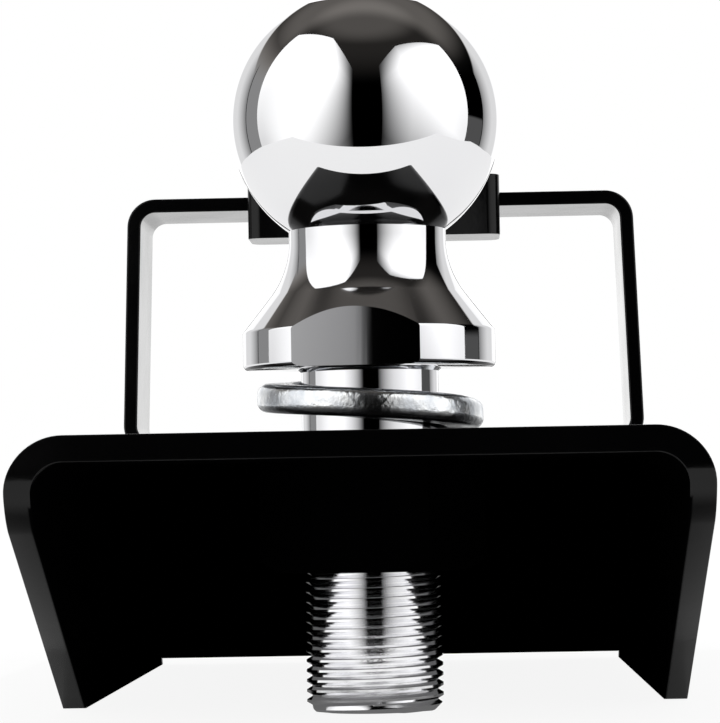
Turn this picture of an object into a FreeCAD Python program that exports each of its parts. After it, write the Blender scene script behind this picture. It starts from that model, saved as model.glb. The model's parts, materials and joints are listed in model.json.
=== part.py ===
import FreeCAD, Part
import math
import os

import Sketcher

# Forklift tow ball attachment: a folded channel carries a tow ball at its front
# and a rectangular loop at its rear, where a fork tine is clamped by a screw.
# Millimetres. X is across, Y runs from the ball back to the loop, Z is up.
# The origin is under the middle of the channel, level with its lower edges.

SIZES = [
    ("bracket_length", 233.0, "folded channel, front edge to rear edge"),
    ("bracket_width", 118.0, "over the outside of both flanges"),
    ("bracket_height", 50.0, "top face of the plate above the lower edges"),
    ("sheet_gauge", 4.5, "thickness of the folded sheet"),
    ("bend_inside", 5.5, "inside radius of both folds"),
    ("nose_depth", 13.2, "straight front edge of a flange, below the plate top"),
    ("slope_length", 76.5, "run of the slanted lower edge of a flange"),
    ("slope_round", 12.0, "radius where the slanted edge starts"),
    ("ball_setback", 58.0, "ball axis behind the front edge"),
    ("ball_aside", 0.7, "ball axis to the right of the channel's middle"),
    ("web_gauge", 4.5, "thickness of the rear web"),
    ("web_lift", 1.7, "lower edge of the web above the flange edges"),
    ("web_corner_gap", 0.45, "radius of the web's corners over that of the folds"),
    ("loop_base_width", 120.4, "outside width of the loop where it stands"),
    ("loop_top_width", 116.6, "outside width of the loop at its top"),
    ("loop_height", 59.0, "outside height of the loop"),
    ("loop_gauge", 3.1, "wall of the loop"),
    ("loop_depth", 30.0, "length of the loop along the fork"),
    ("loop_corner", 6.5, "outside corner radius of the loop"),
    ("block_width", 57.0, "threaded block, across"),
    ("block_depth", 18.0, "threaded block, along the fork"),
    ("block_height", 13.6, "threaded block, up"),
    ("block_rise", 2.5, "top of the block above the top of the loop"),
    ("block_corner", 3.0, "radius of the block's upright corners"),
    ("clamp_aside", 1.0, "block and clamp screw to the left of the channel's middle"),
    ("weld_leg", 3.0, "leg of each weld bead"),
    ("weld_end", 6.0, "bead stops this far short of a corner"),
    ("ball_diameter", 50.0, "tow ball"),
    ("ball_centre", 44.8, "centre of the ball above its base"),
    ("ball_flat", 22.0, "flat top above the centre of the ball"),
    ("neck_diameter", 28.4, "neck under the ball"),
    ("neck_flare", 12.5, "radius of the flare from neck to shoulder"),
    ("flare_start", 20.5, "start of the flare above the base"),
    ("shoulder_slope", 45.0, "slope of the shoulder between flare and base, degrees"),
    ("base_diameter", 46.0, "round base of the ball"),
    ("base_height", 6.5, "upright edge of the base"),
    ("base_chamfer", 0.8, "lower edge of the base"),
    ("spanner_width", 40.0, "across the two spanner flats"),
    ("flat_height", 15.0, "reach of the spanner flats above the base"),
    ("ball_twist", -5.5, "turn of the flats about the ball axis, degrees"),
    ("shank_diameter", 25.4, "plain shank"),
    ("shank_plain", 15.9, "length of the plain shank under the base"),
    ("thread_diameter", 25.0, "over the crests of the shank thread"),
    ("thread_chamfer", 1.5, "end of the shank thread"),
    ("shank_hole_gap", 0.5, "clearance round the shank in the plate"),
    ("shank_end_gap", 0.1, "end of the shank above the lower edges"),
    ("washer_inside", 26.0, "bore of the spring washer"),
    ("washer_outside", 41.5, "outside of the spring washer"),
    ("washer_gauge", 5.2, "thickness of the spring washer"),
    ("washer_edge", 1.1, "broken edge of the spring washer"),
    ("washer_free", 12.4, "free height of the spring washer"),
    ("washer_split", 9.0, "opening between its ends, degrees"),
    ("washer_turn", 25.0, "opening to the right of the rear, degrees"),
    ("nut_width", 36.0, "nut across flats"),
    ("nut_height", 20.0, "nut"),
    ("nut_thread_gap", 0.05, "between nut bore and shank thread"),
    ("nut_chamfer", 2.0, "height of the chamfer at the nut's corners"),
    ("nut_face_inset", 0.4, "lower face of the nut inside its flats"),
    ("screw_diameter", 16.0, "clamp screw"),
    ("screw_gap", 0.06, "clearance round the clamp screw in the block"),
    ("tip_diameter", 12.0, "end of the clamp screw, in the pad"),
    ("tip_length", 8.0, "end of the clamp screw, below the thread"),
    ("tip_neck", 10.0, "diameter of the ring groove in the tip"),
    ("tip_gap", 0.1, "clearance round the tip in the pad"),
    ("pad_diameter", 30.0, "pressure pad"),
    ("pad_height", 7.0, "pressure pad"),
    ("pad_floor", 2.5, "floor of the pad under the tip"),
    ("pad_drop", 5.8, "top of the pad below the threaded block"),
    ("pad_float", 0.3, "tip above the floor of the pad"),
    ("ring_height", 4.0, "retaining ring above the pad's underside"),
    ("ring_gauge", 1.3, "thickness of the retaining ring"),
    ("ring_inside", 10.4, "bore of the retaining ring"),
    ("ring_outside", 14.8, "outside of the retaining ring"),
    ("ring_angle", 320.0, "extent of the open retaining ring, degrees"),
    ("ring_slack", 0.1, "play of the ring in the screw and in the pad"),
    ("head_diameter", 22.0, "head of the clamp screw"),
    ("head_height", 18.0, "head of the clamp screw"),
    ("head_chamfer", 1.5, "upper edge of the head"),
    ("bar_rise", 34.8, "cross bar above the threaded block"),
    ("bar_diameter", 10.0, "sliding cross bar"),
    ("bar_length", 76.0, "over both knobs"),
    ("bar_gap", 0.06, "clearance round the cross bar in the head"),
    ("knob_diameter", 14.0, "end knobs of the cross bar"),
    ("knob_length", 9.0, "end knobs of the cross bar"),
    ("knob_bore", 6.0, "depth of the bar in a knob"),
    ("knob_gap", 0.02, "fit of the bar in a knob"),
    ("knob_bevel", 2.0, "outer edge of a knob"),
]

size = {name: value for name, value, note in SIZES}

doc = FreeCAD.newDocument("TowBallAttachment")
subparts = []


def fill_sheet():
    """Put every driving size in the spreadsheet, one named cell a row."""
    sheet = doc.addObject("Spreadsheet::Sheet", "Sizes")
    for row, (name, value, note) in enumerate(SIZES, start=1):
        sheet.set("A%d" % row, name)
        sheet.set("B%d" % row, repr(value))
        sheet.setAlias("B%d" % row, name)
        sheet.set("C%d" % row, note)
    doc.recompute()


def from_sheet(text):
    """Turn words such as {bracket_width} / 2 into an expression on the sheet."""
    return text.replace("{", "Sizes.").replace("}", "")


def bind(thing, prop, text):
    """Tie one property to the sheet."""
    thing.setExpression(prop, from_sheet(text))


def make_body(label, x="0", y="0", z="0"):
    """Start a sub-part at its own place."""
    body = doc.addObject("PartDesign::Body", "Body_" + label)
    body.Label = label
    bind(body, "Placement.Base.x", x)
    bind(body, "Placement.Base.y", y)
    bind(body, "Placement.Base.z", z)
    return body


def make_sketch(body, name, role):
    """Start a sketch on one of the body's own planes."""
    sketch = body.newObject("Sketcher::SketchObject", body.Label + "_" + name)
    plane = [item for item in body.Origin.OriginFeatures if item.Role == role][0]
    sketch.AttachmentSupport = [(plane, "")]
    sketch.MapMode = "FlatFace"
    return sketch


def hold(sketch, kind, geometry, point, text, word):
    """Fix one coordinate of a sketch point from the sheet."""
    if text == "0":
        axis = -2 if kind == "DistanceX" else -1
        sketch.addConstraint(Sketcher.Constraint("PointOnObject", geometry, point, axis))
        return
    spot = sketch.getPoint(geometry, point)
    value = spot.x if kind == "DistanceX" else spot.y
    index = sketch.addConstraint(Sketcher.Constraint(kind, -1, 1, geometry, point, value))
    sketch.renameConstraint(index, word)
    bind(sketch, "Constraints." + word, text)


def pin(sketch, geometry, point, x, y, word):
    """Fix both coordinates of a sketch point from the sheet."""
    hold(sketch, "DistanceX", geometry, point, x, "across_" + word)
    hold(sketch, "DistanceY", geometry, point, y, "along_" + word)


def draw_outline(sketch, corners):
    """Draw a closed outline whose corners are all tied to the sheet."""
    count = len(corners)
    first = sketch.GeometryCount
    spots = []
    for index in range(count):
        turn = 2 * math.pi * index / count
        spots.append(FreeCAD.Vector(10 * math.cos(turn), 10 * math.sin(turn), 0))
    for index in range(count):
        line = Part.LineSegment(spots[index], spots[(index + 1) % count])
        sketch.addGeometry(line, False)
    for index in range(count):
        following = first + (index + 1) % count
        joined = Sketcher.Constraint("Coincident", first + index, 2, following, 1)
        sketch.addConstraint(joined)
    for index, (x, y) in enumerate(corners):
        pin(sketch, first + index, 1, x, y, "corner%d" % (first + index))
    return sketch


def draw_circle(sketch, x, y, diameter):
    """Draw a circle tied to the sheet."""
    start = Part.Circle(FreeCAD.Vector(1, 1, 0), ALONG_Z, 5)
    index = sketch.addGeometry(start, False)
    pin(sketch, index, 3, x, y, "centre%d" % index)
    rule = sketch.addConstraint(Sketcher.Constraint("Diameter", index, 10.0))
    sketch.renameConstraint(rule, "diameter%d" % index)
    bind(sketch, "Constraints.diameter%d" % index, diameter)
    return sketch


def outline(body, name, role, corners):
    """Sketch one closed outline on an origin plane of the body."""
    return draw_outline(make_sketch(body, name, role), corners)


def circle(body, name, role, x, y, diameter):
    """Sketch one circle on an origin plane of the body."""
    return draw_circle(make_sketch(body, name, role), x, y, diameter)


def pad(body, name, sketch, length, both_ways=False):
    """Extrude a sketch along its normal, or half to each side."""
    feature = body.newObject("PartDesign::Pad", body.Label + "_" + name)
    feature.Profile = sketch
    feature.SideType = "Symmetric" if both_ways else "One side"
    bind(feature, "Length", length)
    doc.recompute()
    return feature


def cut(body, name, sketch, length=None, upwards=False):
    """Cut a sketch out: right through both ways, or to a length."""
    before = body.Shape.Volume
    feature = body.newObject("PartDesign::Pocket", body.Label + "_" + name)
    feature.Profile = sketch
    if length is None:
        feature.Type = "ThroughAll"
        feature.SideType = "Symmetric"
    else:
        feature.Reversed = upwards
        bind(feature, "Length", length)
    doc.recompute()
    if body.Shape.Volume > before - 0.01:
        raise RuntimeError(feature.Name + " cuts nothing")
    return feature


def turn(body, name, sketch, angle="360"):
    """Revolve a sketch about its upright axis."""
    feature = body.newObject("PartDesign::Revolution", body.Label + "_" + name)
    feature.Profile = sketch
    feature.ReferenceAxis = (sketch, ["V_Axis"])
    bind(feature, "Angle", angle)
    doc.recompute()
    return feature


def groove(body, name, sketch):
    """Turn a sketch out of the body about its upright axis."""
    before = body.Shape.Volume
    feature = body.newObject("PartDesign::Groove", body.Label + "_" + name)
    feature.Profile = sketch
    feature.ReferenceAxis = (sketch, ["V_Axis"])
    feature.Angle = 360
    doc.recompute()
    if body.Shape.Volume > before - 0.01:
        raise RuntimeError(feature.Name + " cuts nothing")
    return feature


def straight_edges(feature, direction, wanted):
    """Name the straight edges along a direction whose middle is wanted."""
    names = []
    for index, edge in enumerate(feature.Shape.Edges, start=1):
        if not isinstance(edge.Curve, Part.Line):
            continue
        if abs(abs(edge.Curve.Direction.dot(direction)) - 1) > 1e-6:
            continue
        middle = (edge.Vertexes[0].Point + edge.Vertexes[-1].Point) * 0.5
        if wanted(middle):
            names.append("Edge%d" % index)
    if not names:
        raise RuntimeError("no edge found on " + feature.Name)
    return names


def fillet(body, name, feature, edges, radius):
    """Round the named edges."""
    rounding = body.newObject("PartDesign::Fillet", body.Label + "_" + name)
    rounding.Base = (feature, edges)
    bind(rounding, "Radius", radius)
    doc.recompute()
    return rounding


def near(value, target):
    """Tell whether two lengths agree."""
    return abs(value - target) < 0.01


ALONG_X = FreeCAD.Vector(1, 0, 0)
ALONG_Y = FreeCAD.Vector(0, 1, 0)
ALONG_Z = FreeCAD.Vector(0, 0, 1)

# Places that several sub-parts share

FRONT = "-{bracket_length} / 2"
BALL_X = "{ball_aside}"
BALL_Y = "-{bracket_length} / 2 + {ball_setback}"
LOOP_Y = "{bracket_length} / 2 - {loop_depth}"
SCREW_X = "-{clamp_aside}"
SCREW_Y = "{bracket_length} / 2 - {loop_depth} - {block_depth} / 2"
PLATE_TOP = "{bracket_height}"
BLOCK_TOP = "{bracket_height} + {loop_height} + {block_rise}"
PAD_Z = BLOCK_TOP + " - {block_height} - {pad_drop} - {pad_height}"
BAR_Z = BLOCK_TOP + " + {bar_rise}"


def make_bracket():
    """Folded channel: top plate and two flanges with slanted front ends."""
    body = make_body("ball_bracket")
    side = "{bracket_width} / 2"
    inner = "{bracket_width} / 2 - {sheet_gauge}"
    under = "{bracket_height} - {sheet_gauge}"
    section = outline(body, "section", "XZ_Plane", [
        ("-" + side, "0"),
        ("-" + side, "{bracket_height}"),
        (side, "{bracket_height}"),
        (side, "0"),
        (inner, "0"),
        (inner, under),
        ("-(" + inner + ")", under),
        ("-(" + inner + ")", "0"),
    ])
    channel = pad(body, "channel", section, "{bracket_length}", both_ways=True)
    half = size["bracket_width"] / 2
    height = size["bracket_height"]
    gauge = size["sheet_gauge"]
    outer_edges = straight_edges(
        channel, ALONG_Y,
        lambda spot: near(abs(spot.x), half) and near(spot.z, height))
    folded = fillet(body, "outer_bend", channel, outer_edges,
                    "{bend_inside} + {sheet_gauge}")
    inner_edges = straight_edges(
        folded, ALONG_Y,
        lambda spot: near(abs(spot.x), half - gauge) and near(spot.z, height - gauge))
    fillet(body, "inner_bend", folded, inner_edges, "{bend_inside}")
    nose = "{bracket_height} - {nose_depth}"
    ahead = "-{bracket_length} / 2 - {sheet_gauge}"
    slope = outline(body, "slope", "YZ_Plane", [
        (ahead, nose),
        (FRONT, nose),
        ("-{bracket_length} / 2 + {slope_length}", "0"),
        ("-{bracket_length} / 2 + {slope_length}", "-{sheet_gauge}"),
        (ahead, "-{sheet_gauge}"),
    ])
    sloped = cut(body, "slope_cut", slope)
    corner_edges = straight_edges(
        sloped, ALONG_X,
        lambda spot: near(spot.y, -size["bracket_length"] / 2)
        and near(spot.z, height - size["nose_depth"]))
    fillet(body, "slope_corner", sloped, corner_edges, "{slope_round}")
    hole = circle(body, "shank_hole", "XY_Plane", BALL_X, BALL_Y,
                  "{shank_diameter} + 2 * {shank_hole_gap}")
    cut(body, "shank_hole_cut", hole)
    return body


def make_web():
    """Rear web between the flanges, flush with the rear edge."""
    body = make_body("rear_web", y="{bracket_length} / 2 - {web_gauge} / 2")
    side = "{bracket_width} / 2 - {sheet_gauge}"
    top = "{bracket_height} - {sheet_gauge}"
    face = outline(body, "face", "XZ_Plane", [
        ("-(" + side + ")", "{web_lift}"),
        (side, "{web_lift}"),
        (side, top),
        ("-(" + side + ")", top),
    ])
    plate = pad(body, "plate", face, "{web_gauge}", both_ways=True)
    corners = straight_edges(
        plate, ALONG_Y,
        lambda spot: near(spot.z, size["bracket_height"] - size["sheet_gauge"]))
    fillet(body, "corners", plate, corners, "{bend_inside} + {web_corner_gap}")
    return body


def make_loop():
    """Rectangular loop that the fork tine passes through."""
    body = make_body("fork_loop", y=LOOP_Y + " + {loop_depth} / 2", z=PLATE_TOP)
    base = "{loop_base_width} / 2"
    top = "{loop_top_width} / 2"
    lean = "({loop_base_width} - {loop_top_width}) / 2 * {loop_gauge} / {loop_height}"
    outside = outline(body, "outside", "XZ_Plane", [
        ("-" + base, "0"),
        (base, "0"),
        (top, "{loop_height}"),
        ("-" + top, "{loop_height}"),
    ])
    whole = pad(body, "blank", outside, "{loop_depth}", both_ways=True)
    corners = straight_edges(whole, ALONG_Y, lambda spot: True)
    fillet(body, "outer_corners", whole, corners, "{loop_corner}")
    low = base + " - {loop_gauge} - " + lean
    high = top + " - {loop_gauge} + " + lean
    inside = outline(body, "inside", "XZ_Plane", [
        ("-(" + low + ")", "{loop_gauge}"),
        (low, "{loop_gauge}"),
        (high, "{loop_height} - {loop_gauge}"),
        ("-(" + high + ")", "{loop_height} - {loop_gauge}"),
    ])
    opened = cut(body, "opening", inside)
    gauge = size["loop_gauge"]
    inner_width = size["loop_top_width"] / 2 - 2 * gauge
    inner = straight_edges(
        opened, ALONG_Y,
        lambda spot: (near(spot.z, gauge) or near(spot.z, size["loop_height"] - gauge))
        and abs(spot.x) > inner_width
        and inside_wall(spot))
    fillet(body, "inner_corners", opened, inner, "{loop_corner} - {loop_gauge}")
    return body


def inside_wall(spot):
    """Tell the loop's inner corners from the ends of its outer roundings."""
    lean = (size["loop_base_width"] - size["loop_top_width"]) / 2 / size["loop_height"]
    outer = size["loop_base_width"] / 2 - lean * spot.z
    return near(abs(spot.x), outer - size["loop_gauge"])


def make_block():
    """Threaded block for the clamp screw, welded to the front of the loop."""
    body = make_body("clamp_block", x=SCREW_X, y=SCREW_Y, z=BLOCK_TOP + " - {block_height}")
    side = "{block_width} / 2"
    half = "{block_depth} / 2"
    plan = outline(body, "plan", "XY_Plane", [
        ("-" + side, "-" + half),
        (side, "-" + half),
        (side, half),
        ("-" + side, half),
    ])
    blank = pad(body, "blank", plan, "{block_height}")
    upright = straight_edges(blank, ALONG_Z, lambda spot: True)
    fillet(body, "corners", blank, upright, "{block_corner}")
    bore = circle(body, "bore", "XY_Plane", "0", "0",
                  "{screw_diameter} + 2 * {screw_gap}")
    cut(body, "bore_cut", bore, "{block_height}", upwards=True)
    return body


def make_ball():
    """Tow ball, forged in one piece with its neck, base and shank."""
    body = make_body("tow_ball", x=BALL_X, y=BALL_Y, z="{bracket_height} + {washer_free}")
    body.Placement.Rotation = FreeCAD.Rotation(ALONG_Z, size["ball_twist"])
    sketch = make_sketch(body, "profile", "XZ_Plane")
    neck = size["neck_diameter"] / 2
    flare = size["neck_flare"]
    slope = math.radians(size["shoulder_slope"])
    lip = size["flare_start"] - flare * math.sin(slope)
    lip_radius = neck + flare - flare * math.cos(slope)
    reach = size["bracket_height"] + size["washer_free"] - size["shank_end_gap"]
    ball = size["ball_diameter"] / 2
    seat = size["ball_centre"] - math.sqrt(ball ** 2 - neck ** 2)
    top = size["ball_centre"] + size["ball_flat"]
    flat = math.sqrt(ball ** 2 - size["ball_flat"] ** 2)
    thread = size["thread_diameter"] / 2
    shank = size["shank_diameter"] / 2
    base = size["base_diameter"] / 2
    chamfer = size["base_chamfer"]
    spots = [
        (0, -reach),
        (thread - size["thread_chamfer"], -reach),
        (thread, -reach + size["thread_chamfer"]),
        (thread, -size["shank_plain"]),
        (shank, -size["shank_plain"]),
        (shank, 0),
        (base - chamfer, 0),
        (base, chamfer),
        (base, size["base_height"]),
        (lip_radius, lip),
        (neck, size["flare_start"]),
        (neck, seat),
        (flat, top),
        (0, top),
    ]
    points = [FreeCAD.Vector(x, y, 0) for x, y in spots]
    count = len(points)
    flare_arc = 9
    ball_arc = 11
    part_way = slope / 2
    for index in range(count):
        start, end = points[index], points[(index + 1) % count]
        if index == flare_arc:
            across = neck + flare - flare * math.cos(part_way)
            middle = FreeCAD.Vector(across, size["flare_start"] - flare * math.sin(part_way), 0)
            sketch.addGeometry(Part.Arc(end, middle, start), False)
        elif index == ball_arc:
            middle = FreeCAD.Vector(ball, size["ball_centre"], 0)
            sketch.addGeometry(Part.Arc(start, middle, end), False)
        else:
            sketch.addGeometry(Part.LineSegment(start, end), False)
    ends = {}
    for index in range(count):
        curve = sketch.Geometry[index]
        forwards = curve.StartPoint.distanceToPoint(points[index]) < 0.01
        ends[index] = (1, 2) if forwards else (2, 1)
    for index in range(count):
        following = (index + 1) % count
        sketch.addConstraint(Sketcher.Constraint(
            "Coincident", index, ends[index][1], following, ends[following][0]))
    stem = "{bracket_height} + {washer_free} - {shank_end_gap}"
    thread_half = "{thread_diameter} / 2"
    lip_words = "{flare_start} - {neck_flare} * sin({shoulder_slope})"
    pin(sketch, 0, ends[0][0], "0", "-(" + stem + ")", "end")
    pin(sketch, 1, ends[1][0], thread_half + " - {thread_chamfer}", "-(" + stem + ")", "tip")
    pin(sketch, 2, ends[2][0], thread_half, "{thread_chamfer} - (" + stem + ")", "crest")
    pin(sketch, 3, ends[3][0], thread_half, "-{shank_plain}", "runout")
    pin(sketch, 4, ends[4][0], "{shank_diameter} / 2", "-{shank_plain}", "shank")
    pin(sketch, 5, ends[5][0], "{shank_diameter} / 2", "0", "root")
    pin(sketch, 6, ends[6][0], "{base_diameter} / 2 - {base_chamfer}", "0", "foot")
    pin(sketch, 7, ends[7][0], "{base_diameter} / 2", "{base_chamfer}", "edge")
    pin(sketch, 8, ends[8][0], "{base_diameter} / 2", "{base_height}", "rim")
    hold(sketch, "DistanceY", 9, ends[9][0], lip_words, "lip")
    pin(sketch, 9, 3, "{neck_diameter} / 2 + {neck_flare}", "{flare_start}", "flare")
    pin(sketch, 10, ends[10][0], "{neck_diameter} / 2", "{flare_start}", "neck")
    hold(sketch, "DistanceX", 11, ends[11][0], "{neck_diameter} / 2", "seat")
    pin(sketch, 11, 3, "0", "{ball_centre}", "ball")
    index = sketch.addConstraint(Sketcher.Constraint("Radius", 11, ball))
    sketch.renameConstraint(index, "ball_radius")
    bind(sketch, "Constraints.ball_radius", "{ball_diameter} / 2")
    hold(sketch, "DistanceY", 12, ends[12][0], "{ball_centre} + {ball_flat}", "crown")
    pin(sketch, 13, ends[13][0], "0", "{ball_centre} + {ball_flat}", "pole")
    doc.recompute()
    turn(body, "forging", sketch)
    spare = "{base_diameter}"
    flats = make_sketch(body, "flats", "XY_Plane")
    for sign in ("", "-"):
        draw_outline(flats, [
            ("-" + spare, sign + "{spanner_width} / 2"),
            (spare, sign + "{spanner_width} / 2"),
            (spare, sign + spare),
            ("-" + spare, sign + spare),
        ])
    cut(body, "spanner_flats", flats, "{flat_height}", upwards=True)
    return body


def make_washer():
    """Split spring washer in its free, helical form."""
    body = make_body("spring_washer", x=BALL_X, y=BALL_Y, z=PLATE_TOP + " + {nut_thread_gap}")
    start = 90 - size["washer_split"] / 2 - size["washer_turn"]
    body.Placement.Rotation = FreeCAD.Rotation(ALONG_Z, start)
    inner = "{washer_inside} / 2"
    outer = "{washer_outside} / 2"
    section = outline(body, "section", "XZ_Plane", [
        (inner + " + {washer_edge}", "0"),
        (outer + " - {washer_edge}", "0"),
        (outer, "{washer_edge}"),
        (outer, "{washer_gauge} - {washer_edge}"),
        (outer + " - {washer_edge}", "{washer_gauge}"),
        (inner + " + {washer_edge}", "{washer_gauge}"),
        (inner, "{washer_gauge} - {washer_edge}"),
        (inner, "{washer_edge}"),
    ])
    doc.recompute()
    coil = body.newObject("PartDesign::AdditiveHelix", "spring_washer_coil")
    coil.Profile = section
    coil.ReferenceAxis = (section, ["V_Axis"])
    coil.Mode = "pitch-height-angle"
    coil.LeftHanded = True
    rise = "({washer_free} - {washer_gauge} - 2 * {nut_thread_gap})"
    bind(coil, "Pitch", rise + " * 360 / (360 - {washer_split})")
    bind(coil, "Height", rise)
    doc.recompute()
    return body


def make_nut():
    """Hexagon nut under the plate, a flat to the front, chamfered below."""
    body = make_body("hex_nut", x=BALL_X, y=BALL_Y,
                     z="{bracket_height} - {sheet_gauge} - {nut_height}")
    corner = "{nut_width} / sqrt(3)"
    flat = "{nut_width} / 2"
    plan = outline(body, "plan", "XY_Plane", [
        (corner, "0"),
        (corner + " / 2", flat),
        ("-" + corner + " / 2", flat),
        ("-" + corner, "0"),
        ("-" + corner + " / 2", "-" + flat),
        (corner + " / 2", "-" + flat),
    ])
    pad(body, "blank", plan, "{nut_height}")
    bore = circle(body, "bore", "XY_Plane", "0", "0",
                  "{thread_diameter} + 2 * {nut_thread_gap}")
    cut(body, "bore_cut", bore, "{nut_height}", upwards=True)
    face = flat + " - {nut_face_inset}"
    beyond = corner + " + {nut_chamfer}"
    slope = "{nut_chamfer} / (" + corner + " - (" + face + "))"
    chamfer = outline(body, "chamfer", "XZ_Plane", [
        (face, "0"),
        (beyond, "0"),
        (beyond, slope + " * (" + beyond + " - (" + face + "))"),
    ])
    groove(body, "corner_chamfer", chamfer)
    return body


def make_screw():
    """Clamp screw: necked tip, thread and drilled head in one piece."""
    body = make_body("clamp_screw", x=SCREW_X, y=SCREW_Y, z=PAD_Z)
    tip = "{tip_diameter} / 2"
    start = "{pad_floor} + {pad_float}"
    shoulder = start + " + {tip_length}"
    hole_height = "{bar_rise} + {block_height} + {pad_drop} + {pad_height}"
    head_base = hole_height + " - {head_height} / 2"
    head_top = hole_height + " + {head_height} / 2"
    profile = outline(body, "profile", "XZ_Plane", [
        ("0", start),
        (tip, start),
        (tip, "{ring_height} - {ring_slack}"),
        ("{tip_neck} / 2", "{ring_height} - {ring_slack}"),
        ("{tip_neck} / 2", "{ring_height} + {ring_gauge} + {ring_slack}"),
        (tip, "{ring_height} + {ring_gauge} + {ring_slack}"),
        (tip, shoulder),
        ("{screw_diameter} / 2", shoulder),
        ("{screw_diameter} / 2", head_base),
        ("{head_diameter} / 2", head_base),
        ("{head_diameter} / 2", head_top + " - {head_chamfer}"),
        ("{head_diameter} / 2 - {head_chamfer}", head_top),
        ("0", head_top),
    ])
    turn(body, "turning", profile)
    hole = circle(body, "bar_hole", "XZ_Plane", "0", hole_height,
                  "{bar_diameter} + 2 * {bar_gap}")
    cut(body, "bar_hole_cut", hole)
    return body


def make_pad():
    """Pressure pad that swivels on the tip of the clamp screw."""
    body = make_body("pressure_pad", x=SCREW_X, y=SCREW_Y, z=PAD_Z)
    rim = "{pad_diameter} / 2"
    bore = "{tip_diameter} / 2 + {tip_gap}"
    recess = "{ring_outside} / 2 + {ring_slack}"
    profile = outline(body, "profile", "XZ_Plane", [
        ("0", "0"),
        (rim, "0"),
        (rim, "{pad_height}"),
        (bore, "{pad_height}"),
        (bore, "{ring_height} + {ring_gauge}"),
        (recess, "{ring_height} + {ring_gauge}"),
        (recess, "{ring_height}"),
        (bore, "{ring_height}"),
        (bore, "{pad_floor}"),
        ("0", "{pad_floor}"),
    ])
    turn(body, "turning", profile)
    return body


def make_ring():
    """Open retaining ring that holds the pad on the screw."""
    body = make_body("pad_ring", x=SCREW_X, y=SCREW_Y, z=PAD_Z)
    section = outline(body, "section", "XZ_Plane", [
        ("{ring_inside} / 2", "{ring_height}"),
        ("{ring_outside} / 2", "{ring_height}"),
        ("{ring_outside} / 2", "{ring_height} + {ring_gauge}"),
        ("{ring_inside} / 2", "{ring_height} + {ring_gauge}"),
    ])
    turn(body, "turning", section, "{ring_angle}")
    return body


def make_bar():
    """Cross bar that slides in the head of the screw."""
    body = make_body("cross_bar", x=SCREW_X, y=SCREW_Y, z=BAR_Z)
    section = circle(body, "section", "XZ_Plane", "0", "0", "{bar_diameter}")
    pad(body, "rod", section, "{bar_length} - 2 * ({knob_length} - {knob_bore})",
        both_ways=True)
    return body


def make_knob(label, sign):
    """End knob pressed on the cross bar, its bevelled end outwards."""
    along = SCREW_Y + " " + sign + " {bar_length} / 2"
    body = make_body(label, x=SCREW_X, y=along, z=BAR_Z)
    tilt = 90 if sign == "+" else -90
    body.Placement.Rotation = FreeCAD.Rotation(ALONG_X, tilt)
    rim = "{knob_diameter} / 2"
    bore = "{bar_diameter} / 2 + {knob_gap}"
    profile = outline(body, "profile", "XZ_Plane", [
        ("0", "0"),
        (rim + " - {knob_bevel}", "0"),
        (rim, "{knob_bevel}"),
        (rim, "{knob_length}"),
        (bore, "{knob_length}"),
        (bore, "{knob_length} - {knob_bore}"),
        ("0", "{knob_length} - {knob_bore}"),
    ])
    turn(body, "turning", profile)
    return body


def make_bead(name, role, corners, length, x="0", y="0", z="0"):
    """One straight weld bead, a three-cornered bar in the joint's corner."""
    body = make_body(name, x=x, y=y, z=z)
    section = outline(body, "section", role, corners)
    pad(body, "run", section, length, both_ways=True)
    return body


def group(label, bodies):
    """Collect like solids in one sub-part."""
    compound = doc.addObject("Part::Compound", "Group_" + label)
    compound.Label = label
    compound.Links = bodies
    doc.recompute()
    return compound


def make_loop_welds():
    """Bead along the front of the loop's foot."""
    length = "{bracket_width} - 2 * ({bend_inside} + {sheet_gauge}) - 2 * {weld_end}"
    front = make_bead("loop_weld_front", "YZ_Plane", [
        ("0", "0"),
        ("-{weld_leg}", "0"),
        ("0", "{weld_leg}"),
    ], length, y=LOOP_Y, z=PLATE_TOP)
    return group("loop_welds", [front])


def make_web_welds():
    """Beads inside the channel, round the front face of the web."""
    face = "{bracket_length} / 2 - {web_gauge}"
    under = "{bracket_height} - {sheet_gauge}"
    side = "{bracket_width} / 2 - {sheet_gauge}"
    across = "2 * (" + side + " - {bend_inside} - {weld_end})"
    top = make_bead("web_weld_top", "YZ_Plane", [
        ("0", "0"),
        ("-{weld_leg}", "0"),
        ("0", "-{weld_leg}"),
    ], across, y=face, z=under)
    beads = [top]
    upright = under + " - {bend_inside} - {weld_end} - {web_lift} - {weld_leg}"
    middle = "({web_lift} + {weld_leg} + " + under + " - {bend_inside} - {weld_end}) / 2"
    for word, sign in (("left", "-"), ("right", "")):
        inward = "{weld_leg}" if sign else "-{weld_leg}"
        beads.append(make_bead("web_weld_" + word, "XY_Plane", [
            ("0", "0"),
            ("0", "-{weld_leg}"),
            (inward, "0"),
        ], upright, x=sign + "(" + side + ")", y=face, z=middle))
    return group("web_welds", beads)


def make_block_welds():
    """Beads above and below the loop's top wall, behind the block."""
    length = "{block_width} - 2 * {block_corner}"
    roof = PLATE_TOP + " + {loop_height}"
    upper = make_bead("block_weld_upper", "YZ_Plane", [
        ("0", "0"),
        ("{weld_leg}", "0"),
        ("0", "{weld_leg}"),
    ], length, x=SCREW_X, y=LOOP_Y, z=roof)
    lower = make_bead("block_weld_lower", "YZ_Plane", [
        ("0", "0"),
        ("{weld_leg}", "0"),
        ("0", "-{weld_leg}"),
    ], length, x=SCREW_X, y=LOOP_Y, z=roof + " - {loop_gauge}")
    return group("block_welds", [upper, lower])


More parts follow.
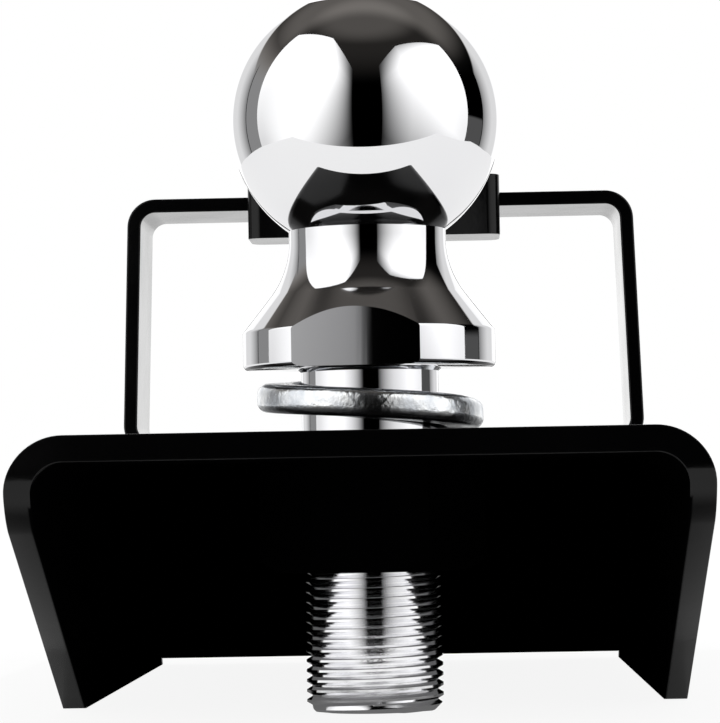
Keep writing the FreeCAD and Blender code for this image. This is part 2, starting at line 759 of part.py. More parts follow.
def check_and_write():
    """Stop on any failed object, then write one STEP file a sub-part."""
    doc.recompute()
    for thing in doc.Objects:
        if "Invalid" in thing.State or "Error" in thing.State:
            raise RuntimeError(thing.Name + " is " + ", ".join(thing.State))
    os.makedirs("parts", exist_ok=True)
    for part in subparts:
        shape = part.Shape
        if shape.isNull() or not shape.isValid():
            raise RuntimeError(part.Label + " has no valid shape")
        print("%-14s %d solid(s) %10.1f mm3" % (part.Label, len(shape.Solids), shape.Volume))
        shape.exportStep("parts/%s.step" % part.Label)


fill_sheet()
subparts.append(make_bracket())
subparts.append(make_web())
subparts.append(make_loop())
subparts.append(make_block())
subparts.append(make_loop_welds())
subparts.append(make_web_welds())
subparts.append(make_block_welds())
subparts.append(make_ball())
subparts.append(make_washer())
subparts.append(make_nut())
subparts.append(make_screw())
subparts.append(make_pad())
subparts.append(make_ring())
subparts.append(make_bar())
subparts.append(make_knob("knob_front", "-"))
subparts.append(make_knob("knob_rear", "+"))
check_and_write()
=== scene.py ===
"""Looks of a forklift tow ball attachment.

A folded black channel carries a chrome tow ball on a spring washer in front,
and a rectangular loop with a clamp screw for a fork tine behind. Every piece
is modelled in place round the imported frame, in metres, and lit as in a small
product studio: two tall soft lights, a pale table and dark flags.
"""

import json
import logging
import math
from dataclasses import dataclass
from enum import Enum
from typing import Callable, Sequence

import bpy
from mathutils import Matrix, Vector

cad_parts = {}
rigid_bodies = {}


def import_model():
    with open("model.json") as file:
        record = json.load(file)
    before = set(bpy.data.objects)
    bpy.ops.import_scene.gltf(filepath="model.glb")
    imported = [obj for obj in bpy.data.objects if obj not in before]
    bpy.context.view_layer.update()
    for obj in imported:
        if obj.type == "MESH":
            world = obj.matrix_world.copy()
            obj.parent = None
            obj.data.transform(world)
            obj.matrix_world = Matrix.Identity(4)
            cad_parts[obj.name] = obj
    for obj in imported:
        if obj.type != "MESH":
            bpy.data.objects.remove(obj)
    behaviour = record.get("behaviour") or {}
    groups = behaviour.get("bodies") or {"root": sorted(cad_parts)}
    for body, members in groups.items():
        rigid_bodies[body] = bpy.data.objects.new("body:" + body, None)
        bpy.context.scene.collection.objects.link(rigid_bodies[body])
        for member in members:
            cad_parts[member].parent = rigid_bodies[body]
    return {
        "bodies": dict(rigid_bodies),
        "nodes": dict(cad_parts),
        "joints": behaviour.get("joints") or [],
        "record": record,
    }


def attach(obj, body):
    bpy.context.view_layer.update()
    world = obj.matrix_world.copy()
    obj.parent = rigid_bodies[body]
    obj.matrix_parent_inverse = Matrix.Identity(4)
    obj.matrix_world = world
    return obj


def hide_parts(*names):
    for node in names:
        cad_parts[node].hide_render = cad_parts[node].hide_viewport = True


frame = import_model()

LOG = logging.getLogger("tow_ball_attachment")
MM = 0.001
TURN = math.tau
ROUNDED_ABOVE = 32.0  # degrees; sharper edges are rounded
THREAD_FORM = ((0.55, 0.0), (0.55, 0.12), (0.0, 0.44), (0.0, 0.68), (0.55, 1.0))
WHITE = (1.0, 1.0, 1.0, 1.0)
DIAGONAL = 0.707
BEAD_SPACING, BEAD_SIZE, BEAD_LIFT, BEAD_SQUASH = 1.15, 0.72, 0.3, 0.28
Point = tuple[float, float]
Place = tuple[float, float, float]
Piece = bpy.types.Object
Material = bpy.types.Material
Tree = bpy.types.NodeTree
Node = bpy.types.Node
Socket = bpy.types.NodeSocket


class Axis(Enum):
    """Direction along which a piece is turned or extruded."""

    X = (1.0, 0.0, 0.0)
    Y = (0.0, 1.0, 0.0)
    Z = (0.0, 0.0, 1.0)


class Body(Enum):
    """Moving body of the frame that a piece rides on."""

    FRAME = "frame"
    PAD = "pad"
    SCREW = "screw"
    BAR = "bar"


class Slot(Enum):
    """Material slot of the record that a piece takes its finish from."""

    BLACK_COAT = "black_coat"
    CHROME = "chrome"
    ZINC = "zinc"
    SCREW_STEEL = "screw_steel"


# ---------------------------------------------------------------- bench tools


def deselect_all() -> None:
    """Leave edit mode and deselect every object."""
    if bpy.context.object and bpy.context.object.mode == "EDIT":
        bpy.ops.object.mode_set(mode="OBJECT")
    bpy.ops.object.select_all(action="DESELECT")


def take(piece: Piece) -> None:
    """Select one object alone and make it active.

    Args:
        piece: The object to work on.
    """
    deselect_all()
    piece.select_set(True)
    bpy.context.view_layer.objects.active = piece


def edit(piece: Piece) -> None:
    """Go into edit mode on one object with all of its mesh selected.

    Args:
        piece: The object to work on.
    """
    take(piece)
    bpy.ops.object.mode_set(mode="EDIT")
    bpy.ops.mesh.select_mode(type="VERT")
    bpy.ops.mesh.select_all(action="SELECT")


def close_mesh(piece: Piece) -> Piece:
    """Merge doubles and turn every face outwards.

    Args:
        piece: The mesh object.

    Returns:
        The same object, back in object mode.
    """
    edit(piece)
    bpy.ops.mesh.remove_doubles(threshold=1e-7)
    bpy.ops.mesh.normals_make_consistent(inside=False)
    bpy.ops.object.mode_set(mode="OBJECT")
    return piece


def apply_modifier(piece: Piece, kind: str, **settings: object) -> None:
    """Add one modifier, set it and apply it.

    Args:
        piece: The object that gets the modifier.
        kind: Blender's name of the modifier type.
        settings: Values of the modifier's properties.
    """
    take(piece)
    modifier = piece.modifiers.new(kind.title(), kind)
    for name, value in settings.items():
        setattr(modifier, name, value)
    bpy.ops.object.modifier_apply(modifier=modifier.name)


def put_in_mesh(piece: Piece) -> None:
    """Move an object's place, turn and size into its mesh."""
    take(piece)
    bpy.ops.object.transform_apply(location=True, rotation=True, scale=True)


def draw_path(name: str, places: Sequence[Place]) -> Piece:
    """Draw a chain of edges by extruding one vertex from place to place.

    Args:
        name: Name of the new object.
        places: Corners of the chain in millimetres.

    Returns:
        An object with the chain, in edit mode, all selected.
    """
    deselect_all()
    start = Vector(places[0]) * MM
    bpy.ops.mesh.primitive_plane_add(size=0.001, location=start)
    piece = bpy.context.object
    piece.name = name
    put_in_mesh(piece)
    edit(piece)
    bpy.ops.mesh.merge(type="COLLAPSE")
    last = start
    for place in places[1:]:
        target = Vector(place) * MM
        bpy.ops.mesh.extrude_region_move(
            TRANSFORM_OT_translate={"value": tuple(target - last)})
        last = target
    bpy.ops.mesh.select_all(action="SELECT")
    return piece


def lathe(name: str, profile: Sequence[Point], centre: Place, steps: int = 96,
          axis: Axis = Axis.Z, closed: bool = False, angle: float = TURN) -> Piece:
    """Turn a profile about an axis.

    Args:
        name: Name of the new piece.
        profile: Radius and height of each profile point in millimetres.
        centre: Point on the axis at height 0, in millimetres.
        steps: Number of faces round the axis.
        axis: Direction of the axis.
        closed: Whether the last point joins the first, as in a ring.
        angle: Extent of the turn in radians.

    Returns:
        The closed piece.
    """
    out = Vector((1, 0, 0)) if axis is not Axis.X else Vector((0, 0, 1))
    along = Vector(axis.value)
    places = [tuple(Vector(centre) + out * radius + along * height) for radius, height in profile]
    if closed:
        places.append(places[0])
    piece = draw_path(name, places)
    bpy.ops.mesh.spin(steps=steps, angle=angle, center=Vector(centre) * MM, axis=axis.value)
    bpy.ops.mesh.select_all(action="SELECT")
    bpy.ops.mesh.remove_doubles(threshold=1e-7)
    if angle < TURN:
        bpy.ops.mesh.select_all(action="DESELECT")
        bpy.ops.mesh.select_non_manifold()
        bpy.ops.mesh.fill()
    return close_mesh(piece)


def prism(name: str, outline: Sequence[Point], low: float, high: float,
          axis: Axis) -> Piece:
    """Extrude a closed outline along an axis.

    Args:
        name: Name of the new piece.
        outline: Corners in the plane across the axis, in millimetres.
        low: Where the prism starts on the axis.
        high: Where it ends.
        axis: Direction of the extrusion.

    Returns:
        The closed piece.
    """
    lift = {Axis.X: lambda a, b: (low, a, b), Axis.Y: lambda a, b: (a, low, b),
            Axis.Z: lambda a, b: (a, b, low)}[axis]
    piece = draw_path(name, [lift(a, b) for a, b in outline])
    bpy.ops.mesh.edge_face_add()
    bpy.ops.mesh.extrude_region_move(
        TRANSFORM_OT_translate={"value": tuple(Vector(axis.value) * (high - low) * MM)})
    return close_mesh(piece)


def rounded_outline(corners: Sequence[Point], radius: float, steps: int = 10) -> list[Point]:
    """Round every corner of a convex outline.

    Args:
        corners: Corners in order, in millimetres.
        radius: Radius of each corner.
        steps: Number of chords in each rounding.

    Returns:
        The corners of the rounded outline.
    """
    points: list[Point] = []
    count = len(corners)
    for index, corner in enumerate(corners):
        here = Vector(corner)
        before = (Vector(corners[index - 1]) - here).normalized()
        after = (Vector(corners[(index + 1) % count]) - here).normalized()
        half = before.angle(after) / 2
        middle = here + (before + after).normalized() * (radius / math.sin(half))
        first = here + before * (radius / math.tan(half)) - middle
        last = here + after * (radius / math.tan(half)) - middle
        sweep = first.angle_signed(last)
        for step in range(steps + 1):
            turned = first.copy()
            turned.rotate(Matrix.Rotation(-sweep * step / steps, 2))
            points.append(tuple(middle + turned))
    return points


def arc(centre: Point, radius: float, start: float, end: float, steps: int) -> list[Point]:
    """Give points on an arc.

    Args:
        centre: Centre of the arc.
        radius: Its radius.
        start: Angle of its first point in degrees.
        end: Angle of its last point in degrees.
        steps: Number of chords.

    Returns:
        The points from start to end.
    """
    angles = [math.radians(start + (end - start) * step / steps) for step in range(steps + 1)]
    return [(centre[0] + radius * math.cos(turn), centre[1] + radius * math.sin(turn))
            for turn in angles]


def combine(piece: Piece, tool: Piece, operation: str = "DIFFERENCE") -> None:
    """Cut one closed piece with another, which is used up.

    Args:
        piece: The piece that stays.
        tool: The piece that it is cut with.
        operation: DIFFERENCE or INTERSECT.
    """
    apply_modifier(piece, "BOOLEAN", operation=operation, object=tool, solver="EXACT")
    bpy.data.objects.remove(tool, do_unlink=True)


def join(piece: Piece, *others: Piece) -> Piece:
    """Join other meshes into one piece.

    Args:
        piece: The piece that stays.
        others: The pieces that are joined to it.

    Returns:
        The piece that stays.
    """
    take(piece)
    for other in others:
        other.select_set(True)
    bpy.ops.object.join()
    return piece


def shade(piece: Piece, above: float) -> Piece:
    """Shade a piece smooth, apart from its sharp edges.

    Args:
        piece: The piece.
        above: Edges sharper than this many degrees stay sharp.

    Returns:
        The same piece.
    """
    take(piece)
    bpy.ops.object.shade_smooth_by_angle(angle=math.radians(above))
    return piece


def soften(piece: Piece, width: float, segments: int, above: float = 30.0) -> Piece:
    """Round the sharp edges of a piece and shade it, flat faces staying flat.

    Args:
        piece: The piece.
        width: Width of the rounding in millimetres.
        segments: Number of faces across it.
        above: Edges sharper than this many degrees stay sharp in the shading.

    Returns:
        The same piece.
    """
    apply_modifier(piece, "BEVEL", width=width * MM, segments=segments, limit_method="ANGLE",
                   angle_limit=math.radians(ROUNDED_ABOVE), use_clamp_overlap=True)
    shade(piece, above)
    apply_modifier(piece, "WEIGHTED_NORMAL", keep_sharp=True, weight=80)
    return piece


def coil(name: str, centre: Place, section: Sequence[Point], angle: float, steps: int,
         rise: float, turns: int = 1, start: float = 0.0, closed: bool = False) -> Piece:
    """Sweep a chain of points up a helix.

    Args:
        name: Name of the new piece.
        centre: Point on the axis, in millimetres.
        section: Radius and height of each point, counted from the centre.
        angle: Angle of one sweep in radians.
        steps: Number of faces in one sweep.
        rise: Height gained in one sweep.
        turns: Number of sweeps on end.
        start: Where the helix starts, in degrees.
        closed: Whether the last point joins the first.

    Returns:
        The piece, open at its ends.
    """
    axis = Vector(centre)
    piece = draw_path(name, [(axis.x + radius, axis.y, axis.z + height)
                             for radius, height in section])
    if closed:
        bpy.ops.mesh.edge_face_add()
        bpy.ops.mesh.delete(type="ONLY_FACE")
    bpy.ops.object.mode_set(mode="OBJECT")
    bpy.context.scene.cursor.location = axis * MM
    bpy.ops.object.origin_set(type="ORIGIN_CURSOR")
    apply_modifier(piece, "SCREW", axis="Z", angle=angle, steps=steps, render_steps=steps,
                   screw_offset=rise * MM, iterations=turns)
    piece.rotation_euler = (0, 0, math.radians(start))
    put_in_mesh(piece)
    return piece


def helical_thread(name: str, centre: Place, low: float, high: float, crest: float,
                   pitch: float, chamfers: Point, steps: int = 96) -> Piece:
    """Model a right-handed thread with flat crests, chamfered at both ends.

    Args:
        name: Name of the new piece.
        centre: Point on the axis; heights are counted from it.
        low: Lower end of the thread.
        high: Upper end of the thread.
        crest: Radius over the crests.
        pitch: Rise in one turn.
        chamfers: Size of the 45 degree chamfers at the lower and the upper end.
        steps: Number of faces in one turn.

    Returns:
        The closed, smooth piece.
    """
    start = low - 2 * pitch
    groove = [(crest - depth * pitch, start + share * pitch) for depth, share in THREAD_FORM]
    axis = Vector(centre)
    piece = coil(name, centre, groove, TURN, steps, pitch,
                 math.ceil((high - start) / pitch) + 1)
    close_mesh(piece)
    for height, normal in ((low, (0, 0, -1)), (high, (0, 0, 1))):
        edit(piece)
        bpy.ops.mesh.bisect(plane_co=(axis + Vector((0, 0, height))) * MM, plane_no=normal,
                            use_fill=True, clear_outer=True)
    bpy.ops.object.mode_set(mode="OBJECT")
    trim_to_cone(piece, axis, low, crest - chamfers[0], 1.0)
    trim_to_cone(piece, axis, high, crest - chamfers[1], -1.0)
    return shade(close_mesh(piece), 24.0)


def trim_to_cone(piece: Piece, axis: Vector, height: float, radius: float,
                 sense: float) -> None:
    """Press the vertices outside a 45 degree cone back on to it.

    Args:
        piece: The piece.
        axis: Point on its axis, in millimetres.
        height: Height where the cone has the given radius.
        radius: Radius of the cone there.
        sense: 1 where the cone widens upwards, -1 where it widens downwards.
    """
    for vertex in piece.data.vertices:
        place = vertex.co / MM - axis
        limit = radius + sense * (place.z - height)
        reach = math.hypot(place.x, place.y)
        if reach > limit > 0:
            vertex.co.x = (axis.x + place.x * limit / reach) * MM
            vertex.co.y = (axis.y + place.y * limit / reach) * MM


def weld_bead(name: str, start: Place, end: Place, corner: Place, leg: float) -> Piece:
    """Lay a rippled bead of overlapping drops along a joint.

    Args:
        name: Name of the new piece.
        start: Where the bead starts, in the joint's corner.
        end: Where it ends.
        corner: Direction from the corner to the middle of the bead.
        leg: Leg of the bead.

    Returns:
        The bead.
    """
    run = Vector(end) - Vector(start)
    count = max(2, int(run.length / BEAD_SPACING))
    step = run / count
    deselect_all()
    bpy.ops.mesh.primitive_uv_sphere_add(segments=20, ring_count=12, radius=leg * BEAD_SIZE * MM)
    piece = bpy.context.object
    piece.name = name
    edit(piece)
    bpy.ops.transform.resize(value=[1.0 - BEAD_SQUASH * abs(part) for part in run.normalized()])
    lift = Vector(corner) * leg * BEAD_LIFT
    bpy.ops.transform.translate(value=(Vector(start) + step / 2 + lift) * MM)
    for index in range(1, count):
        sway = Vector(corner) * (0.09 * math.sin(index * 2.4) + 0.05 * math.sin(index * 0.61))
        bpy.ops.mesh.duplicate_move(TRANSFORM_OT_translate={"value": tuple(step * MM)})
        bpy.ops.transform.translate(value=sway * MM)
        bpy.ops.mesh.select_more()
    bpy.ops.object.mode_set(mode="OBJECT")
    return shade(piece, 60.0)


def place_piece(piece: Piece, node: str, body: Body, slot: Slot,
                finishes: "Finishes") -> None:
    """Dress a finished piece and let it stand for its CAD node.

    Args:
        piece: The finished piece, which may have its materials already.
        node: CAD node that it stands for.
        body: Body that it rides on.
        slot: Material slot of the record.
        finishes: The materials.
    """
    if not any(piece.data.materials):
        piece.data.materials.clear()
        piece.data.materials.append(finishes.slots[slot])
    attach(piece, body.value)
    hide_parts(node)
    LOG.info("%-16s %6d vertices", piece.name, len(piece.data.vertices))


# ------------------------------------------------------------------- finishes


class Bench:
    """Node tree under construction, with short calls for its nodes."""

    tree: Tree

    def node(self, kind: str, **settings: object) -> Node:
        """Add a node.

        Args:
            kind: Blender's name of the node type.
            settings: Values of the node's properties.

        Returns:
            The node.
        """
        made = self.tree.nodes.new(kind)
        for name, value in settings.items():
            setattr(made, name, value)
        return made

    def link(self, source: Socket, target: Socket) -> None:
        """Join two sockets."""
        self.tree.links.new(source, target)

    def feed(self, made: Node, values: dict[int | str, object]) -> Node:
        """Join sockets to a node's inputs, or write plain values into them.

        Args:
            made: The node.
            values: Socket or value for each input.

        Returns:
            The same node.
        """
        for name, value in values.items():
            if isinstance(value, Socket):
                self.link(value, made.inputs[name])
            else:
                made.inputs[name].default_value = value
        return made

    def math(self, operation: str, first: object, second: object = 0.0,
             clamp: bool = False) -> Socket:
        """Add a Math node whose operands are sockets or numbers.

        Args:
            operation: Blender's name of the operation.
            first: First operand.
            second: Second operand.
            clamp: Whether the result is kept between 0 and 1.

        Returns:
            The result.
        """
        made = self.node("ShaderNodeMath", operation=operation, use_clamp=clamp)
        return self.feed(made, {0: first, 1: second}).outputs[0]

    def times(self, first: object, second: object, clamp: bool = False) -> Socket:
        """Multiply two sockets or numbers."""
        return self.math("MULTIPLY", first, second, clamp)

    def minus(self, first: object, second: object) -> Socket:
        """Take the second socket or number from the first."""
        return self.math("SUBTRACT", first, second)

    def larger(self, first: object, second: object) -> Socket:
        """Pick the larger of two sockets or numbers."""
        return self.math("MAXIMUM", first, second)

    def mix_shaders(self, share: Socket, first: Socket, second: Socket, output: str) -> None:
        """Show one shader or another.

        Args:
            share: Share of the second shader.
            first: First shader.
            second: Second shader.
            output: Name of the tree's output node.
        """
        mixed = self.feed(self.node("ShaderNodeMixShader"), {0: share, 1: first, 2: second})
        self.link(mixed.outputs[0], self.tree.nodes[output].inputs["Surface"])

    def ramp(self, value: object, start: float, end: float, low: object = 0.0,
             high: object = 1.0, smooth: bool = True) -> Socket:
        """Lead a value from one level to another between two marks.

        Args:
            value: Socket that runs from start to end.
            start: Where the result leaves the first level.
            end: Where it reaches the second level.
            low: First level.
            high: Second level.
            smooth: Whether it eases in and out.

        Returns:
            The level.
        """
        made = self.node("ShaderNodeMapRange",
                         interpolation_type="SMOOTHSTEP" if smooth else "LINEAR")
        return self.feed(made, {"Value": value, "From Min": start, "From Max": end,
                                "To Min": low, "To Max": high}).outputs["Result"]

    def places(self, shift: Place = (0.0, 0.0, 0.0)) -> Sequence[Socket]:
        """Give the three Object coordinates.

        Args:
            shift: Point that they are counted from, in metres.

        Returns:
            The x, y and z coordinates.
        """
        origin = self.node("ShaderNodeTexCoord").outputs["Object"]
        moved = self.feed(self.node("ShaderNodeVectorMath", operation="SUBTRACT"),
                          {0: origin, 1: shift})
        return self.feed(self.node("ShaderNodeSeparateXYZ"), {0: moved.outputs["Vector"]}).outputs

    def noise(self, scale: object, detail: float,
              stretch: Place = (1, 1, 1)) -> Socket:
        """Add a noise on Object coordinates.

        Args:
            scale: Scale per metre, a socket or a number.
            detail: Number of octaves.
            stretch: Factor on each coordinate before the noise.

        Returns:
            The noise value.
        """
        origin = self.node("ShaderNodeTexCoord").outputs["Object"]
        mapping = self.feed(self.node("ShaderNodeMapping"), {"Vector": origin, "Scale": stretch})
        return self.feed(self.node("ShaderNodeTexNoise"), {
            "Vector": mapping.outputs["Vector"], "Scale": scale, "Detail": detail}).outputs["Fac"]


class Shader(Bench):
    """Material under construction."""

    def __init__(self, name: str) -> None:
        """Start an empty material with a Principled shader.

        Args:
            name: Name of the material.
        """
        self.material = bpy.data.materials.new(name)
        self.material.use_nodes = True
        self.tree = self.material.node_tree
        self.surface = self.tree.nodes["Principled BSDF"]

    def group(self, tree: Tree, **inputs: object) -> Node:
        """Place a shared node group.

        Args:
            tree: The group.
            inputs: Values of its inputs.

        Returns:
            The group's node.
        """
        return self.feed(self.node("ShaderNodeGroup", node_tree=tree),
                         {name.replace("_", " ").title(): inputs[name] for name in inputs})

    def blend(self, share: Socket, first: Place, second: Place) -> Socket:
        """Mix two colours by a mask."""
        return self.feed(self.node("ShaderNodeMix", data_type="RGBA"), {
            "Factor": share, "A": (*first, 1), "B": (*second, 1)}).outputs["Result"]

    def bump(self, height: Socket, distance: float) -> None:
        """Let a height raise the surface, in metres."""
        made = self.feed(self.node("ShaderNodeBump"), {"Distance": distance, "Height": height})
        self.feed(self.surface, {"Normal": made.outputs["Normal"]})

    def glow_only(self, strength: Socket, colour: object = WHITE) -> None:
        """Let the surface give off light and nothing else."""
        glow = self.feed(self.node("ShaderNodeEmission"), {"Strength": strength, "Color": colour})
        self.link(glow.outputs["Emission"], self.tree.nodes["Material Output"].inputs["Surface"])


class GroupMaker(Bench):
    """Shared node group under construction."""

    def __init__(self, name: str, inputs: dict[str, float], outputs: Sequence[str]) -> None:
        """Start a group with number inputs and outputs.

        Args:
            name: Name of the group.
            inputs: Name and default of each input.
            outputs: Name of each output.
        """
        self.tree = bpy.data.node_groups.new(name, "ShaderNodeTree")
        for label, value in inputs.items():
            socket = self.tree.interface.new_socket(
                name=label, in_out="INPUT", socket_type="NodeSocketFloat")
            socket.default_value = value
        for label in outputs:
            self.tree.interface.new_socket(
                name=label, in_out="OUTPUT", socket_type="NodeSocketFloat")
        self.entry = self.node("NodeGroupInput")
        self.exit = self.node("NodeGroupOutput")


def grain_group() -> Tree:
    """Build the fine grain that coats and plated metal share.

    Returns:
        A group with a height and a slow patch mask.
    """
    maker = GroupMaker("fine_grain", {"Scale": 900.0, "Coarse Scale": 60.0, "Coarse Share": 0.3},
                       ["Height", "Patches"])
    fine = maker.noise(maker.entry.outputs["Scale"], 2.0)
    coarse = maker.noise(maker.entry.outputs["Coarse Scale"], 3.0)
    share = maker.times(coarse, maker.entry.outputs["Coarse Share"])
    maker.feed(maker.exit, {"Height": maker.math("ADD", fine, share),
                            "Patches": maker.times(maker.minus(coarse, 0.36), 3.4, clamp=True)})
    return maker.tree


def edge_wear_and_highlight_group() -> Tree:
    """Build the mask of edges painted lighter, from a rounded normal: worn powder together with a
    painted edge highlight.

    Returns:
        A group with one mask.
    """
    maker = GroupMaker("worn_and_highlit_edges", {"Radius": 0.0006, "Gain": 4.0, "Break Up": 0.5}, ["Mask"])
    rounded = maker.feed(maker.node("ShaderNodeBevel", samples=4),
                         {"Radius": maker.entry.outputs["Radius"]})
    dot = maker.feed(maker.node("ShaderNodeVectorMath", operation="DOT_PRODUCT"), {
        0: rounded.outputs["Normal"], 1: maker.node("ShaderNodeNewGeometry").outputs["Normal"]})
    gained = maker.times(maker.minus(1.0, dot.outputs["Value"]), maker.entry.outputs["Gain"],
                         clamp=True)
    patch = maker.times(maker.noise(420.0, 4.0), 1.6, clamp=True)
    share = maker.times(maker.entry.outputs["Break Up"], maker.minus(1.0, patch))
    maker.feed(maker.exit, {"Mask": maker.times(gained, maker.minus(1.0, share), clamp=True)})
    return maker.tree


def turning_group() -> Tree:
    """Build the fine rings that a cutting tool leaves round an upright axis.

    Returns:
        A group with a height.
    """
    maker = GroupMaker("turning_rings", {"Scale": 30.0}, ["Height"])
    rings = maker.noise(maker.entry.outputs["Scale"], 3.0, stretch=(1.0, 1.0, 60.0))
    maker.feed(maker.exit, {"Height": rings})
    return maker.tree


def painted_shade_group() -> Tree:
    """Build the mask of the channel's inside, where the coat is painted as shade: no reflection,
    rough.

    Returns:
        A group with one mask.
    """
    maker = GroupMaker("painted_shade_inside", {"Side": 0.0553, "Roof": 0.0462, "Front": -0.1150,
                                             "Rear": 0.1145}, ["Mask"])
    x, y, z = maker.places()
    near = maker.entry.outputs
    inside = maker.minus(near["Side"], maker.math("ABSOLUTE", x))
    for depth in (maker.minus(near["Roof"], z), maker.minus(y, near["Front"]),
                  maker.minus(near["Rear"], y)):
        inside = maker.math("MINIMUM", inside, depth)
    maker.feed(maker.exit, {"Mask": maker.ramp(inside, 0.0, 0.0006)})
    return maker.tree


@dataclass(frozen=True)
class BlackCoat:
    """Gloss black powder coat: deep black, orange-peel surface; edges lighter for wear and painted
    highlight, the channel's inside unreflecting as painted shade.
    """

    colour: Place = (0.0010, 0.0010, 0.0011)
    wear_and_highlight_colour: Place = (0.0060, 0.0060, 0.0062)
    roughness: float = 0.115
    painted_shade_roughness: float = 0.42
    gloss_level: float = 0.27
    painted_shade_level: float = 0.0
    peel_scale: float = 620.0
    peel_height: float = 0.000012

    def material(self, grain: Tree, edges: Tree,
                 shade_mask: Tree) -> Material:
        """Build the material.

        Args:
            grain: Shared grain group.
            edges: Shared edge group.
            shade_mask: Shared mask of the channel's inside, where shade is painted.

        Returns:
            The material.
        """
        shader = Shader("black_coat")
        texture = shader.group(grain, scale=self.peel_scale, coarse_scale=45.0, coarse_share=0.5)
        edge_wear_and_highlight = shader.group(edges, radius=0.0007, gain=3.0, break_up=0.45).outputs["Mask"]
        # Painted shade: inside the channel the coat loses its reflection and turns rough, so it
        # shows black.
        painted_shade = shader.group(shade_mask).outputs["Mask"]
        # Painted edge highlight, also standing for powder worn off: edges take a lighter black,
        # except inside the painted shade.
        wear_and_highlight_outside_shade = shader.times(edge_wear_and_highlight, shader.minus(1.0, painted_shade))
        gloss = shader.ramp(texture.outputs["Patches"], 0.0, 1.0, self.roughness,
                            self.roughness + 0.06, smooth=False)
        shader.feed(shader.surface, {
            "IOR": 1.5, "Base Color": shader.blend(wear_and_highlight_outside_shade, self.colour, self.wear_and_highlight_colour),
            "Specular IOR Level": shader.ramp(painted_shade, 0.0, 1.0, self.gloss_level, self.painted_shade_level),
            "Roughness": shader.ramp(painted_shade, 0.0, 1.0, gloss, self.painted_shade_roughness)})
        shader.bump(texture.outputs["Height"], self.peel_height)
        return shader.material


@dataclass(frozen=True)
class Plate:
    """Bright metal plate, from mirror chrome to slightly rough zinc."""

    name: str
    colour: Place
    shade_colour: Place
    roughness: float
    roughness_span: float
    grain_scale: float
    grain_height: float
    patch_scale: float
    rings: float = 0.0

    def material(self, grain: Tree, turning: Tree) -> Material:
        """Build the material.

        Args:
            grain: Shared grain group.
            turning: Shared group of turning rings.

        Returns:
            The material.
        """
        shader = Shader(self.name)
        texture = shader.group(grain, scale=self.grain_scale, coarse_scale=self.patch_scale,
                               coarse_share=0.25)
        patches, height = texture.outputs["Patches"], texture.outputs["Height"]
        shader.feed(shader.surface, {
            "Metallic": 1.0, "Base Color": shader.blend(patches, self.colour, self.shade_colour),
            "Roughness": shader.ramp(patches, 0.0, 1.0, self.roughness,
                                     self.roughness + self.roughness_span, smooth=False)})
        if self.rings:
            rings = shader.group(turning, scale=self.rings)
            height = shader.math("ADD", height, rings.outputs["Height"])
        shader.bump(height, self.grain_height)
        return shader.material


@dataclass(frozen=True)
class Finishes:
    """All materials of the attachment: one for each slot, one for the shank's thread."""

    slots: dict[Slot, Material]
    thread: Material

    @staticmethod
    def mix() -> "Finishes":
        """Build every material once.

        Returns:
            The set of materials.
        """
        shared = grain_group(), turning_group()
        chrome = Plate("chrome", (0.86, 0.86, 0.87), (0.82, 0.82, 0.84), 0.018, 0.03,
                       140.0, 0.0000006, 24.0)
        thread = Plate("thread_chrome", (0.95, 0.95, 0.96), (0.88, 0.88, 0.90), 0.06, 0.08,
                       1500.0, 0.000004, 120.0)
        zinc = Plate("zinc_plate", (0.94, 0.95, 0.95), (0.70, 0.73, 0.77), 0.15, 0.12,
                     900.0, 0.00009, 260.0)
        steel = Plate("turned_steel", (0.62, 0.63, 0.65), (0.50, 0.51, 0.53), 0.20, 0.12,
                      900.0, 0.000004, 90.0, rings=50.0)
        coat = BlackCoat().material(shared[0], edge_wear_and_highlight_group(), painted_shade_group())
        return Finishes({Slot.BLACK_COAT: coat, Slot.CHROME: chrome.material(*shared),
                         Slot.ZINC: zinc.material(*shared),
                         Slot.SCREW_STEEL: steel.material(*shared)}, thread.material(*shared))


# ------------------------------------------------------------ the attachment


